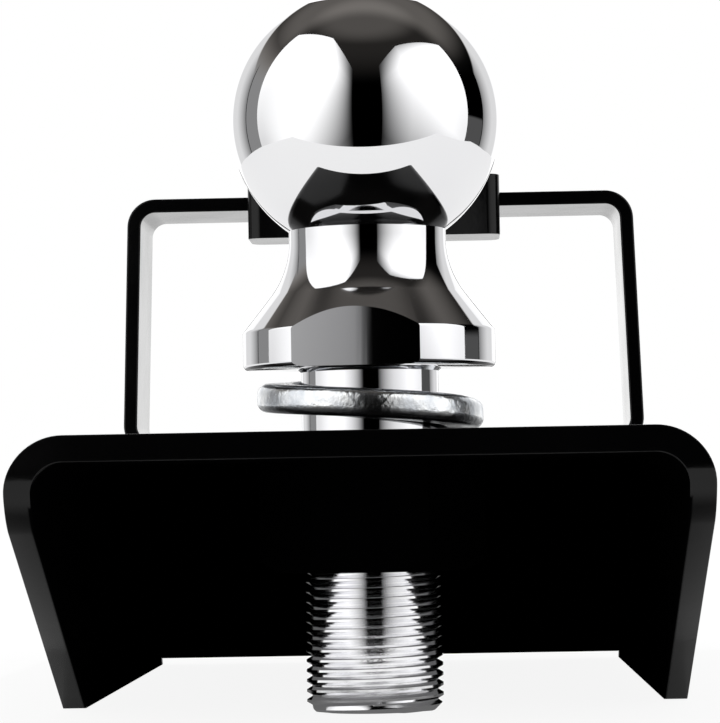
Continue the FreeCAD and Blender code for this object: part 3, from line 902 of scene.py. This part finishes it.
@dataclass
class Channel:
    """Folded channel with its rear web, in millimetres."""

    length: float = 233.0
    width: float = 118.0
    height: float = 50.0
    gauge: float = 4.5
    bend: float = 5.5
    nose_depth: float = 13.2
    slope_length: float = 76.5
    slope_round: float = 12.0
    ball_x: float = 0.7
    ball_y: float = -58.5
    hole_radius: float = 13.2
    web_lift: float = 1.7
    bead: float = 3.0
    bead_gap: float = 6.0
    web_corner: float = 5.52

    def bracket(self) -> Piece:
        """Build the folded sheet: U section, slanted front ends, shank hole.

        Returns:
            The bracket.
        """
        half, top, bend = self.width / 2, self.height, self.bend
        outer, inner = bend + self.gauge, half - self.gauge
        under = top - self.gauge
        section: list[Point] = [(-half, 0.0)]
        section += arc((-half + outer, top - outer), outer, 180, 90, 18)
        section += arc((half - outer, top - outer), outer, 90, 0, 18)
        section += [(half, 0.0), (inner, 0.0)]
        section += arc((inner - bend, under - bend), bend, 0, 90, 18)
        section += arc((-inner + bend, under - bend), bend, 90, 180, 18)
        section += [(-inner, 0.0)]
        piece = prism("folded_channel", section, -self.length / 2, self.length / 2, Axis.Y)
        combine(piece, self.slope_cutter())
        radius = self.hole_radius
        combine(piece, lathe("hole_cutter", [(0, -9), (radius, -9), (radius, 9), (0, 9)],
                             (self.ball_x, self.ball_y, top)))
        return soften(piece, 0.45, 3)

    def slope_cutter(self) -> Piece:
        """Build the block that cuts both flanges' front ends on the slant.

        Returns:
            The cutter.
        """
        front, nose = -self.length / 2, self.height - self.nose_depth
        slant = math.atan2(nose, self.slope_length)
        tangent = self.slope_round * math.tan((math.pi / 2 - slant) / 2)
        centre = (front + self.slope_round, nose + tangent)
        rounding = arc(centre, self.slope_round, 180, 270 - math.degrees(slant), 16)
        outline = [(front - 12, nose + tangent), *rounding,
                   (front + self.slope_length, 0.0),
                   (front + self.slope_length + 12 * math.cos(slant), -12 * math.sin(slant)),
                   (front - 12, -12 * math.sin(slant))]
        return prism("slope_cutter", outline, -80, 80, Axis.X)

    def web(self) -> Piece:
        """Build the rear plate between the flanges.

        Returns:
            The web.
        """
        side, top, low = self.width / 2 - self.gauge, self.height - self.gauge, self.web_lift
        corner = self.web_corner
        face = [(-side, low), *arc((-side + corner, top - corner), corner, 180, 90, 12),
                *arc((side - corner, top - corner), corner, 90, 0, 12), (side, low)]
        piece = prism("rear_plate", face, self.length / 2 - self.gauge, self.length / 2, Axis.Y)
        return soften(piece, 0.35, 2)

    def build(self, finishes: Finishes) -> None:
        """Build, dress and place the channel's pieces.

        Args:
            finishes: The materials.
        """
        made = [(self.bracket(), "ball_bracket"), (self.web(), "rear_web")]
        side, rear = self.width / 2 - self.gauge, self.length / 2 - self.gauge
        under, short = self.height - self.gauge, side - self.bend - self.bead_gap
        beads = [weld_bead("web_beads", (-short, rear, under), (short, rear, under),
                           (0, -DIAGONAL, -DIAGONAL), self.bead)]
        for sense in (-1, 1):
            beads.append(weld_bead("web_bead", (sense * side, rear, self.web_lift + self.bead),
                                   (sense * side, rear, under - self.bend - self.bead_gap),
                                   (-sense * DIAGONAL, -DIAGONAL, 0), self.bead))
        made.append((join(*beads), "web_welds"))
        for piece, node in made:
            place_piece(piece, node, Body.FRAME, Slot.BLACK_COAT, finishes)


@dataclass
class ForkLoop:
    """Loop for the fork tine with its threaded block, in millimetres."""

    base_width: float = 120.4
    top_width: float = 116.6
    height: float = 59.0
    gauge: float = 3.1
    corner: float = 6.5
    front: float = 86.5
    rear: float = 116.5
    base: float = 50.0
    block_x: float = -1.0
    block_width: float = 57.0
    block_depth: float = 18.0
    block_height: float = 13.6
    block_rise: float = 2.5
    block_corner: float = 3.0
    bore: float = 8.06
    bead: float = 3.0
    bead_gap: float = 16.0

    def loop(self) -> Piece:
        """Build the loop, a slice of rectangular tube.

        Returns:
            The loop.
        """
        low, high = self.base_width / 2, self.top_width / 2
        lean = (low - high) * self.gauge / self.height
        top = self.base + self.height
        outside = [(-low, self.base), (low, self.base), (high, top), (-high, top)]
        low, high = low - self.gauge - lean, high - self.gauge + lean
        inside = [(-low, self.base + self.gauge), (low, self.base + self.gauge),
                  (high, top - self.gauge), (-high, top - self.gauge)]
        piece = prism("tine_loop", rounded_outline(outside, self.corner, 14),
                      self.front, self.rear, Axis.Y)
        window = prism("loop_window", rounded_outline(inside, self.corner - self.gauge, 14),
                       self.front - 5, self.rear + 5, Axis.Y)
        combine(piece, window)
        return soften(piece, 0.4, 3)

    def block(self) -> Piece:
        """Build the threaded block in front of the loop's top wall.

        Returns:
            The block.
        """
        left, right = self.block_x - self.block_width / 2, self.block_x + self.block_width / 2
        rear, top = self.front, self.base + self.height + self.block_rise
        plan = [(left, rear - self.block_depth), (right, rear - self.block_depth),
                (right, rear), (left, rear)]
        piece = prism("threaded_block", rounded_outline(plan, self.block_corner, 12),
                      top - self.block_height, top, Axis.Z)
        bore = lathe("bore_cutter",
                     [(0, -9), (self.bore + 0.9, -9), (self.bore + 0.9, -7.2), (self.bore, -6.3),
                      (self.bore, 6.3), (self.bore + 0.9, 7.2), (self.bore + 0.9, 9), (0, 9)],
                     (self.block_x, rear - self.block_depth / 2, top - self.block_height / 2),
                     steps=96)
        combine(piece, bore)
        return soften(piece, 0.5, 3)

    def build(self, finishes: Finishes) -> None:
        """Build, dress and place the loop's pieces.

        Args:
            finishes: The materials.
        """
        roof = self.base + self.height
        half, reach = self.block_width / 2 - self.block_corner, self.base_width / 2 - self.bead_gap
        left, right = self.block_x - half, self.block_x + half
        beads = [weld_bead("block_beads", (left, self.front, level), (right, self.front, level),
                           (0, DIAGONAL, sense * DIAGONAL), self.bead)
                 for level, sense in ((roof, 1), (roof - self.gauge, -1))]
        foot = weld_bead("foot_bead", (-reach, self.front, self.base),
                         (reach, self.front, self.base), (0, -DIAGONAL, DIAGONAL), self.bead)
        made = ((self.loop(), "fork_loop"), (self.block(), "clamp_block"),
                (join(*beads), "block_welds"), (foot, "loop_welds"))
        for piece, node in made:
            place_piece(piece, node, Body.FRAME, Slot.BLACK_COAT, finishes)


@dataclass
class TowBall:
    """Forged tow ball, spring washer and nut, in millimetres."""

    centre_x: float = 0.7
    centre_y: float = -58.5
    base_z: float = 62.4
    ball_radius: float = 25.0
    ball_centre: float = 45.9
    ball_flat: float = 20.9
    neck: float = 14.45
    flare: float = 17.0
    flare_start: float = 24.0
    shoulder: float = 37.0
    base_radius: float = 23.25
    base_height: float = 6.95
    base_rounding: float = 0.9
    base_chamfer: float = 1.0
    spanner_half: float = 20.5
    flat_height: float = 15.0
    twist: float = -5.3
    ridge: float = -1.5
    ridge_round: float = 1.0
    lean: float = 0.03
    shank: float = 12.7
    shank_plain: float = 15.9
    thread: float = 12.5
    thread_pitch: float = 1.814
    thread_chamfer: float = 1.5
    stem: float = 62.3
    washer_low: float = 50.05
    washer_inside: float = 13.0
    washer_outside: float = 20.75
    washer_gauge: float = 5.2
    washer_edge: float = 1.8
    washer_rise: float = 7.1
    washer_split: float = 9.0
    washer_turn: float = 25.0
    nut_flat: float = 18.0
    nut_height: float = 20.0
    nut_top: float = 45.5
    nut_chamfer: float = 2.0

    def forging_profile(self) -> list[Point]:
        """Give the profile of ball, neck, flare, base and plain shank.

        Returns:
            Radius and height of each point above the base's underside.
        """
        seat = math.degrees(math.acos(self.neck / self.ball_radius))
        crown = math.degrees(math.asin(self.ball_flat / self.ball_radius))
        crown_radius = math.sqrt(self.ball_radius ** 2 - self.ball_flat ** 2)
        rim, rounding, chamfer = self.base_height, self.base_rounding, self.base_chamfer
        top, end, foot = self.ball_centre + self.ball_flat, -self.shank_plain, self.base_radius
        points: list[Point] = [(0, end - 0.4), (self.shank - 1.3, end - 0.4), (self.shank, end),
                               (self.shank, -0.5), (self.shank + 0.5, 0.0), (foot - chamfer, 0.0)]
        points += arc((foot - chamfer, chamfer), chamfer, -75, 0, 6)
        drop = rounding * math.tan(math.radians(self.shoulder / 2))
        points += arc((foot - rounding, rim - drop), rounding, 0, self.shoulder, 7)
        flare_centre = (self.neck + self.flare, self.flare_start)
        points += arc(flare_centre, self.flare, 180 + self.shoulder, 180, 26)
        points += arc((0, self.ball_centre), self.ball_radius, -seat, crown - 0.9, 66)
        return points + [(crown_radius - 0.25, top - 0.06), (crown_radius - 0.8, top),
                         (5.0, top), (0, top)]

    def forging(self, finishes: Finishes) -> Piece:
        """Build the ball with its base, flats, shank and thread in one piece.

        Args:
            finishes: The materials.

        Returns:
            The tow ball.
        """
        middle = (self.centre_x, self.centre_y, self.base_z)
        piece = lathe("forged_ball", self.forging_profile(), middle, steps=224)
        for sense in (-1, 1):
            combine(piece, self.flat_cutter(sense))
        shade(piece, 24.0)
        thread = helical_thread("shank_thread", middle, -self.stem, -self.shank_plain - 0.2,
                                self.thread, self.thread_pitch, (self.thread_chamfer, 0.7))
        piece.data.materials.append(finishes.slots[Slot.CHROME])
        thread.data.materials.append(finishes.thread)
        return join(piece, thread)

    def flat_cutter(self, sense: int) -> Piece:
        """Build the block that mills one spanner flat, with a faint ridge in its middle.

        Args:
            sense: -1 for the front flat, 1 for the rear flat.

        Returns:
            The cutter.
        """
        turn = math.radians(self.twist)
        across = [-40.0, *[-13.0 + step for step in range(27)], 40.0]
        face = [(u, self.spanner_half - self.lean * (
            math.hypot(min(abs(u - self.ridge), 14.0), self.ridge_round) - self.ridge_round))
            for u in across]
        outline = [(u * sense, v * sense) for u, v in [*face, (40.0, 40.0), (-40.0, 40.0)]]
        places = [(self.centre_x + u * math.cos(turn) - v * math.sin(turn),
                   self.centre_y + u * math.sin(turn) + v * math.cos(turn)) for u, v in outline]
        return prism("flat_cutter", places, self.base_z - 4.0,
                     self.base_z + self.flat_height, Axis.Z)

    def washer(self) -> Piece:
        """Build the split spring washer in its free, helical form.

        Returns:
            The washer.
        """
        low, high, gauge = self.washer_inside, self.washer_outside, self.washer_gauge
        section = rounded_outline([(low, 0), (high, 0), (high, gauge), (low, gauge)],
                                  self.washer_edge, 7)
        piece = coil("split_washer", (self.centre_x, self.centre_y, self.washer_low), section,
                     -math.radians(360.0 - self.washer_split), 160, self.washer_rise,
                     start=90 - self.washer_split / 2 - self.washer_turn, closed=True)
        edit(piece)
        bpy.ops.mesh.select_all(action="DESELECT")
        bpy.ops.mesh.select_non_manifold()
        bpy.ops.mesh.edge_face_add()
        return shade(close_mesh(piece), 40.0)

    def nut(self) -> Piece:
        """Build the thick hexagon nut, chamfered below.

        Returns:
            The nut.
        """
        corner, height = self.nut_flat / math.cos(math.pi / 6), self.nut_height
        middle = (self.centre_x, self.centre_y, self.nut_top - height)
        piece = lathe("thick_nut", [(0, -2), (corner, -2), (corner, height + 2), (0, height + 2)],
                      middle, steps=6)
        face, beyond, wall = self.nut_flat - 0.4, corner + 2.0, self.thread + 0.05
        slope = self.nut_chamfer / (corner - face)
        cone = lathe("nut_chamfer", [(0, 0), (face, 0), (beyond, slope * (beyond - face)),
                                     (beyond, height), (0, height)], middle, steps=120)
        combine(piece, cone, "INTERSECT")
        bore = lathe("nut_bore", [(0, -1), (self.thread + 1.2, -1), (self.thread + 1.2, 0),
                                  (wall, 1.15), (wall, height + 1), (0, height + 1)], middle)
        combine(piece, bore)
        return soften(piece, 0.35, 2, 28.0)

    def build(self, finishes: Finishes) -> None:
        """Build, dress and place the ball, its washer and its nut.

        Args:
            finishes: The materials.
        """
        for piece, node, slot in ((self.forging(finishes), "tow_ball", Slot.CHROME),
                                  (self.washer(), "spring_washer", Slot.ZINC),
                                  (self.nut(), "hex_nut", Slot.BLACK_COAT)):
            place_piece(piece, node, Body.FRAME, slot, finishes)


@dataclass
class Clamp:
    """Clamp screw with its swivel pad, retaining ring and cross bar."""

    centre_x: float = -1.0
    centre_y: float = 77.5
    pad_z: float = 85.1
    pad_radius: float = 15.0
    pad_height: float = 7.0
    pad_floor: float = 2.5
    tip: float = 6.0
    tip_low: float = 2.8
    groove_radius: float = 5.0
    groove_low: float = 3.9
    groove_high: float = 5.4
    recess: float = 7.5
    ring_low: float = 4.0
    ring_high: float = 5.3
    core: float = 6.7
    thread: float = 8.0
    pitch: float = 2.0
    shoulder: float = 10.8
    head_low: float = 52.2
    head_high: float = 70.2
    head_radius: float = 11.0
    bar_z: float = 146.3
    bar_radius: float = 5.0
    bar_length: float = 76.0
    knob_radius: float = 7.0
    knob_length: float = 9.0

    def screw(self) -> Piece:
        """Build the screw: necked tip, thread and drilled head.

        Returns:
            The screw.
        """
        middle = (self.centre_x, self.centre_y, self.pad_z)
        tip, head = self.tip, self.head_radius
        profile = [(0, self.tip_low), (tip - 0.5, self.tip_low), (tip, self.tip_low + 0.5),
                   (tip, self.groove_low), (self.groove_radius, self.groove_low),
                   (self.groove_radius, self.groove_high), (tip, self.groove_high),
                   (tip, self.shoulder), (self.core, self.shoulder + 0.6),
                   (self.core, self.head_low - 0.2), (head - 1.0, self.head_low),
                   (head, self.head_low + 0.6), (head, self.head_high - 1.5),
                   (head - 0.4, self.head_high - 0.6), (head - 1.5, self.head_high),
                   (0, self.head_high)]
        piece = lathe("turned_screw", profile, middle, steps=96)
        bore = self.bar_radius + 0.06
        hole = lathe("bar_hole", [(0, -14), (6.0, -14), (6.0, -10.6), (bore, -9.8),
                                  (bore, 9.8), (6.0, 10.6), (6.0, 14), (0, 14)],
                     (self.centre_x, self.centre_y, self.bar_z), steps=72, axis=Axis.Y)
        combine(piece, hole)
        shade(piece, 28.0)
        thread = helical_thread("screw_thread", middle, self.shoulder, self.head_low - 1.2,
                                self.thread, self.pitch, (1.2, 0.8), steps=72)
        return join(piece, thread)

    def pad(self) -> Piece:
        """Build the swivel pad with its socket and ring recess.

        Returns:
            The pad.
        """
        rim, top = self.pad_radius, self.pad_height
        bore = self.tip + 0.1
        profile = [(0, 0), (rim - 1.0, 0), (rim - 0.3, 0.3), (rim, 1.0), (rim, top - 1.2),
                   (rim - 0.4, top - 0.4), (rim - 1.2, top), (bore + 0.5, top), (bore, top - 0.5),
                   (bore, self.ring_high), (self.recess, self.ring_high),
                   (self.recess, self.ring_low), (bore, self.ring_low), (bore, self.pad_floor),
                   (0, self.pad_floor)]
        piece = lathe("swivel_pad", profile, (self.centre_x, self.centre_y, self.pad_z), steps=96)
        return shade(piece, 28.0)

    def ring(self) -> Piece:
        """Build the open retaining ring between pad and tip.

        Returns:
            The ring.
        """
        inside, outside = self.groove_radius + 0.2, self.recess - 0.1
        section = rounded_outline([(inside, self.ring_low), (outside, self.ring_low),
                                   (outside, self.ring_high), (inside, self.ring_high)], 0.25, 3)
        piece = lathe("snap_ring", section, (self.centre_x, self.centre_y, self.pad_z), steps=72,
                      closed=True, angle=math.radians(320.0))
        return shade(piece, 50.0)

    def bar(self) -> Piece:
        """Build the sliding cross bar.

        Returns:
            The bar.
        """
        half, radius = self.bar_length / 2 - 3.0, self.bar_radius
        piece = lathe("sliding_bar", [(0, -half), (radius - 0.5, -half), (radius, -half + 0.5),
                                    (radius, half - 0.5), (radius - 0.5, half), (0, half)],
                      (self.centre_x, self.centre_y, self.bar_z), steps=72, axis=Axis.Y)
        return shade(piece, 28.0)

    def knob(self, name: str, sense: int) -> Piece:
        """Build one end knob with a domed end and a pressed-on collar.

        Args:
            name: Name of the knob.
            sense: -1 for the front end of the bar, 1 for the rear end.

        Returns:
            The knob.
        """
        rim, length, bore = self.knob_radius, self.knob_length, self.bar_radius + 0.02
        profile = [(0, 0), (2.0, 0.0), (4.2, 0.25), (5.6, 0.8), (6.5, 1.6), (rim, 2.8),
                   (rim, 5.3), (rim - 0.5, 5.6), (rim - 0.5, 6.1), (rim, 6.4), (rim, length - 0.6),
                   (rim - 0.6, length), (bore, length), (bore, 3.0), (0, 3.0)]
        end = self.centre_y + sense * self.bar_length / 2
        piece = lathe(name, [(radius, -sense * height) for radius, height in profile],
                      (self.centre_x, end, self.bar_z), steps=72, axis=Axis.Y)
        return shade(piece, 28.0)

    def build(self, finishes: Finishes) -> None:
        """Build, dress and place the clamp's pieces.

        Args:
            finishes: The materials.
        """
        steel = Slot.SCREW_STEEL
        for piece, node, body, slot in (
                (self.screw(), "clamp_screw", Body.SCREW, steel),
                (self.pad(), "pressure_pad", Body.PAD, Slot.ZINC),
                (self.ring(), "pad_ring", Body.PAD, steel),
                (self.bar(), "cross_bar", Body.BAR, steel),
                (self.knob("end_knob_front", -1), "knob_front", Body.BAR, steel),
                (self.knob("end_knob_rear", 1), "knob_rear", Body.BAR, steel)):
            place_piece(piece, node, body, slot, finishes)


# --------------------------------------------------------------------- studio


@dataclass(frozen=True)
class SoftLight:
    """One tall diffusing screen on three uprights and how its light falls off."""

    name: str
    feet: tuple[Point, Point, Point]
    start: float
    power: float
    fade: Point
    rear_level: float
    low: float = -0.55
    high: float = 1.06
    gain: float = 1.2
    brightest: float = 1.25
    rise: tuple[tuple[float, ...], ...] = ((-0.30, 0.02, 0.40, 1.0), (0.02, 0.55, 1.0, 2.0))

    def build(self) -> None:
        """Stand the screen beside the table, dim at its front, foot and head."""
        piece = draw_path(self.name, [(x / MM, y / MM, self.low / MM) for x, y in self.feet])
        bpy.ops.mesh.extrude_region_move(
            TRANSFORM_OT_translate={"value": (0, 0, self.high - self.low)})
        bpy.ops.object.mode_set(mode="OBJECT")
        shader = Shader(self.name + "_cloth")
        y, z = shader.places()[1:]
        along = shader.larger(shader.minus(y, self.start), 0.0)
        level = shader.times(shader.math("POWER", along, self.power), self.gain)
        for start, end, first, last in (*self.rise, (*self.fade, 1.0, 0.15)):
            level = shader.times(level, shader.ramp(z, start, end, first, last, smooth=False))
        level = shader.math("MINIMUM", level, self.brightest)
        rear = shader.ramp(z, 0.0, 0.45, self.rear_level, 1.0, smooth=False)
        level = shader.times(level, shader.ramp(y, -0.30, 0.02, 1.0, rear))
        shader.glow_only(level)
        piece.data.materials.append(shader.material)
        piece.visible_camera = False
        piece.visible_shadow = False


@dataclass
class Studio:
    """Pale table, two tall soft lights, dark flags and a white surround."""

    table_colour: Place = (0.90, 0.90, 0.90)
    ambient: float = 0.60
    flag_radius: float = 2.4
    middle: Place = (0.0007, -0.0585, 0.1084)
    half_box: Point = (0.059, 0.117)
    table_edge: tuple[Point, ...] = (
        (-410, -267), (421, -267), (470, -60), (569, 82), (590, 384), (1400, 3000),
        (-1400, 3000), (-575, 369), (-522, 25))

    def build(self) -> None:
        """Set up everything that isn't part of the object."""
        self.surround()
        self.table()
        SoftLight("left_soft_light", ((-0.21, -1.40), (-0.355, -0.40), (-0.70, 0.07)),
                  -1.40, 1.6, (0.70, 1.30), 0.66).build()
        SoftLight("right_soft_light", ((0.32, -1.20), (0.44, -0.56), (0.94, 0.05)),
                  -1.27, 1.3, (0.66, 1.15), 0.84).build()
        self.flags()

    def surround(self) -> None:
        """Make the world white to the camera and to reflections, dim to the rest."""
        world = bpy.data.worlds.new("surround")
        bpy.context.scene.world = world
        world.use_nodes = True
        bench = Bench()
        bench.tree = world.node_tree
        plain = bench.feed(bench.tree.nodes["Background"],
                           {"Color": WHITE, "Strength": self.ambient})
        white = bench.feed(bench.node("ShaderNodeBackground"), {"Color": WHITE, "Strength": 1.0})
        rays = bench.node("ShaderNodeLightPath").outputs
        seen = bench.larger(rays["Is Camera Ray"], rays["Is Glossy Ray"])
        seen = bench.larger(seen, rays["Is Transmission Ray"])
        bench.mix_shaders(seen, plain.outputs[0], white.outputs[0], "World Output")

    def table(self) -> None:
        """Lay the pale table, white away from the object, with its shadow kept, and a painted
        shadow under the object where reflections see it.
        """
        piece = draw_path("table", [(x, y, 0.0) for x, y in self.table_edge])
        bpy.ops.mesh.edge_face_add()
        close_mesh(piece)
        if piece.data.polygons[0].normal.z < 0:
            piece.data.flip_normals()
        shader = Shader("table_paper")
        shader.feed(shader.surface, {"Base Color": (*self.table_colour, 1), "Roughness": 0.7,
                                     "Specular IOR Level": 0.2})
        x, y = shader.places()[:2]
        beyond = shader.larger(shader.minus(shader.math("ABSOLUTE", x), self.half_box[0]),
                               shader.minus(shader.math("ABSOLUTE", y), self.half_box[1]))
        rays = shader.node("ShaderNodeLightPath").outputs
        share = shader.times(rays["Is Camera Ray"], shader.ramp(beyond, -0.05, 0.20, 0.90, 1.0))
        share = shader.math("ADD", share, shader.times(rays["Is Glossy Ray"], 0.85))
        # Painted shadow: to reflections the table glows only faintly under and near the object.
        under = shader.ramp(beyond, -0.004, 0.030, 0.14, 1.02)
        glow = shader.feed(shader.node("ShaderNodeEmission"),
                           {"Strength": shader.larger(under, rays["Is Camera Ray"])})
        shader.mix_shaders(share, shader.surface.outputs["BSDF"], glow.outputs["Emission"],
                           "Material Output")
        piece.data.materials.append(shader.material)

    def flags(self) -> None:
        """Hang flags overhead, in front and beside the lights, a backdrop behind.

        Only reflections see them, so they leave the light on the object alone.
        """
        deselect_all()
        bpy.ops.mesh.primitive_uv_sphere_add(segments=96, ring_count=60, radius=self.flag_radius,
                                             location=self.middle)
        piece = bpy.context.object
        piece.name = "dark_flags"
        put_in_mesh(piece)
        shader = Shader("flag_cloth")
        tones = shader.group(self.tone_group())
        warm = shader.blend(tones.outputs["Warmth"], (1.0, 1.0, 1.0), (1.0, 0.93, 0.86))
        shader.glow_only(tones.outputs["Tone"], warm)
        piece.data.materials.append(shader.material)
        for kind in ("camera", "diffuse", "transmission", "shadow"):
            setattr(piece, "visible_" + kind, False)

    def tone_group(self) -> Tree:
        """Build the tone of the studio in every direction round the ball.

        Returns:
            A group with the tone and a mask of the warm, dark parts.
        """
        maker = GroupMaker("studio_tones", {"Radius": self.flag_radius}, ["Tone", "Warmth"])
        radius = maker.entry.outputs["Radius"]
        x, y, z = [maker.math("DIVIDE", axis, radius) for axis in maker.places(self.middle)]
        wide = maker.math("ABSOLUTE", x)
        # Dark cloth overhead, a little paler at its top and over the rear.
        tone = maker.math("ADD", maker.ramp(z, 0.38, 0.85, 0.0, 0.02),
                          maker.ramp(z, 0.85, 0.97, 0.0, 0.07))
        tone = maker.math("ADD", tone, maker.times(maker.ramp(y, -0.05, 0.25, 0.0, 0.10),
                                                   maker.ramp(z, 0.50, 0.80)))
        # Grey bands outside the left and the right light.
        tone = maker.larger(tone, maker.times(maker.ramp(x, -0.75, -0.25, 1.0, 0.0),
                                              maker.ramp(z, 0.40, 0.72, 0.27, 0.05)))
        tone = maker.larger(tone, maker.times(maker.ramp(x, 0.50, 0.70),
                                              maker.ramp(z, 0.03, 0.06, 0.085, 0.0)))
        # Thin dark line where the side flags end.
        edge = maker.minus(y, maker.times(wide, 0.56))
        line = maker.times(maker.ramp(edge, -0.022, -0.016),
                           maker.ramp(edge, -0.004, 0.002, 1.0, 0.0))
        line = maker.times(line, maker.ramp(z, 0.42, 0.50, 1.0, 0.0))
        tone = maker.times(tone, maker.minus(1.0, line))
        # White backdrop between grey cloths, below a slanting roof.
        slant = maker.math("DIVIDE", wide, maker.larger(y, 0.001))
        cloth = maker.ramp(slant, 0.95, 1.78, 0.80, 0.22, smooth=False)
        white = maker.ramp(slant, 0.0, 0.60, 1.38, 1.10, smooth=False)
        back = maker.ramp(maker.ramp(slant, 0.58, 0.62), 0.0, 1.0, white, cloth, smooth=False)
        roof = maker.minus(maker.times(y, 0.92), z)
        open_side = maker.times(maker.ramp(edge, 0.0, 0.006), maker.ramp(roof, 0.0, 0.05))
        warmth = maker.times(maker.minus(1.0, open_side), maker.ramp(z, 0.35, 0.60))
        maker.feed(maker.exit, {"Warmth": warmth, "Tone": maker.ramp(
            open_side, 0.0, 1.0, tone, back, smooth=False)})
        return maker.tree


@dataclass
class PhotoCamera:
    """Camera at the photograph's viewing angle."""

    place: Place = (14.87, -627.06, 38.04)
    yaw: float = -0.0280
    pitch: float = 0.0454
    roll: float = -0.0177
    focal_pixels: float = 3097.4
    frame_pixels: float = 720.0
    sensor: float = 36.0

    def build(self) -> None:
        """Make the camera and use it for the scene."""
        lens = bpy.data.cameras.new("photo_camera")
        lens.sensor_fit = "HORIZONTAL"
        lens.sensor_width = self.sensor
        lens.lens = self.focal_pixels / self.frame_pixels * self.sensor
        lens.clip_start, lens.clip_end = 0.01, 20.0
        camera = bpy.data.objects.new("photo_camera", lens)
        bpy.context.collection.objects.link(camera)
        forward = Vector((math.sin(self.yaw) * math.cos(self.pitch),
                          math.cos(self.yaw) * math.cos(self.pitch), math.sin(self.pitch)))
        level = Vector((math.cos(self.yaw), -math.sin(self.yaw), 0.0))
        above = level.cross(forward)
        right = level * math.cos(self.roll) + above * math.sin(self.roll)
        up = above * math.cos(self.roll) - level * math.sin(self.roll)
        frame = Matrix((right, up, -forward)).transposed().to_4x4()
        frame.translation = Vector(self.place) * MM
        camera.matrix_world = frame
        bpy.context.scene.camera = camera


def main(steps: Sequence[Callable[[], None]]) -> None:
    """Build the object, the studio and the camera in order.

    Args:
        steps: The builders, each called once.
    """
    bpy.context.scene.view_settings.view_transform = "Standard"
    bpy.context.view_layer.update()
    for step in steps:
        step()


if __name__ == "__main__":
    logging.basicConfig(level=logging.INFO, format="%(name)s: %(message)s")
    all_finishes = Finishes.mix()
    main([
        lambda: Channel().build(all_finishes),
        lambda: ForkLoop().build(all_finishes),
        lambda: TowBall().build(all_finishes),
        lambda: Clamp().build(all_finishes),
        Studio().build,
        PhotoCamera().build,
    ])
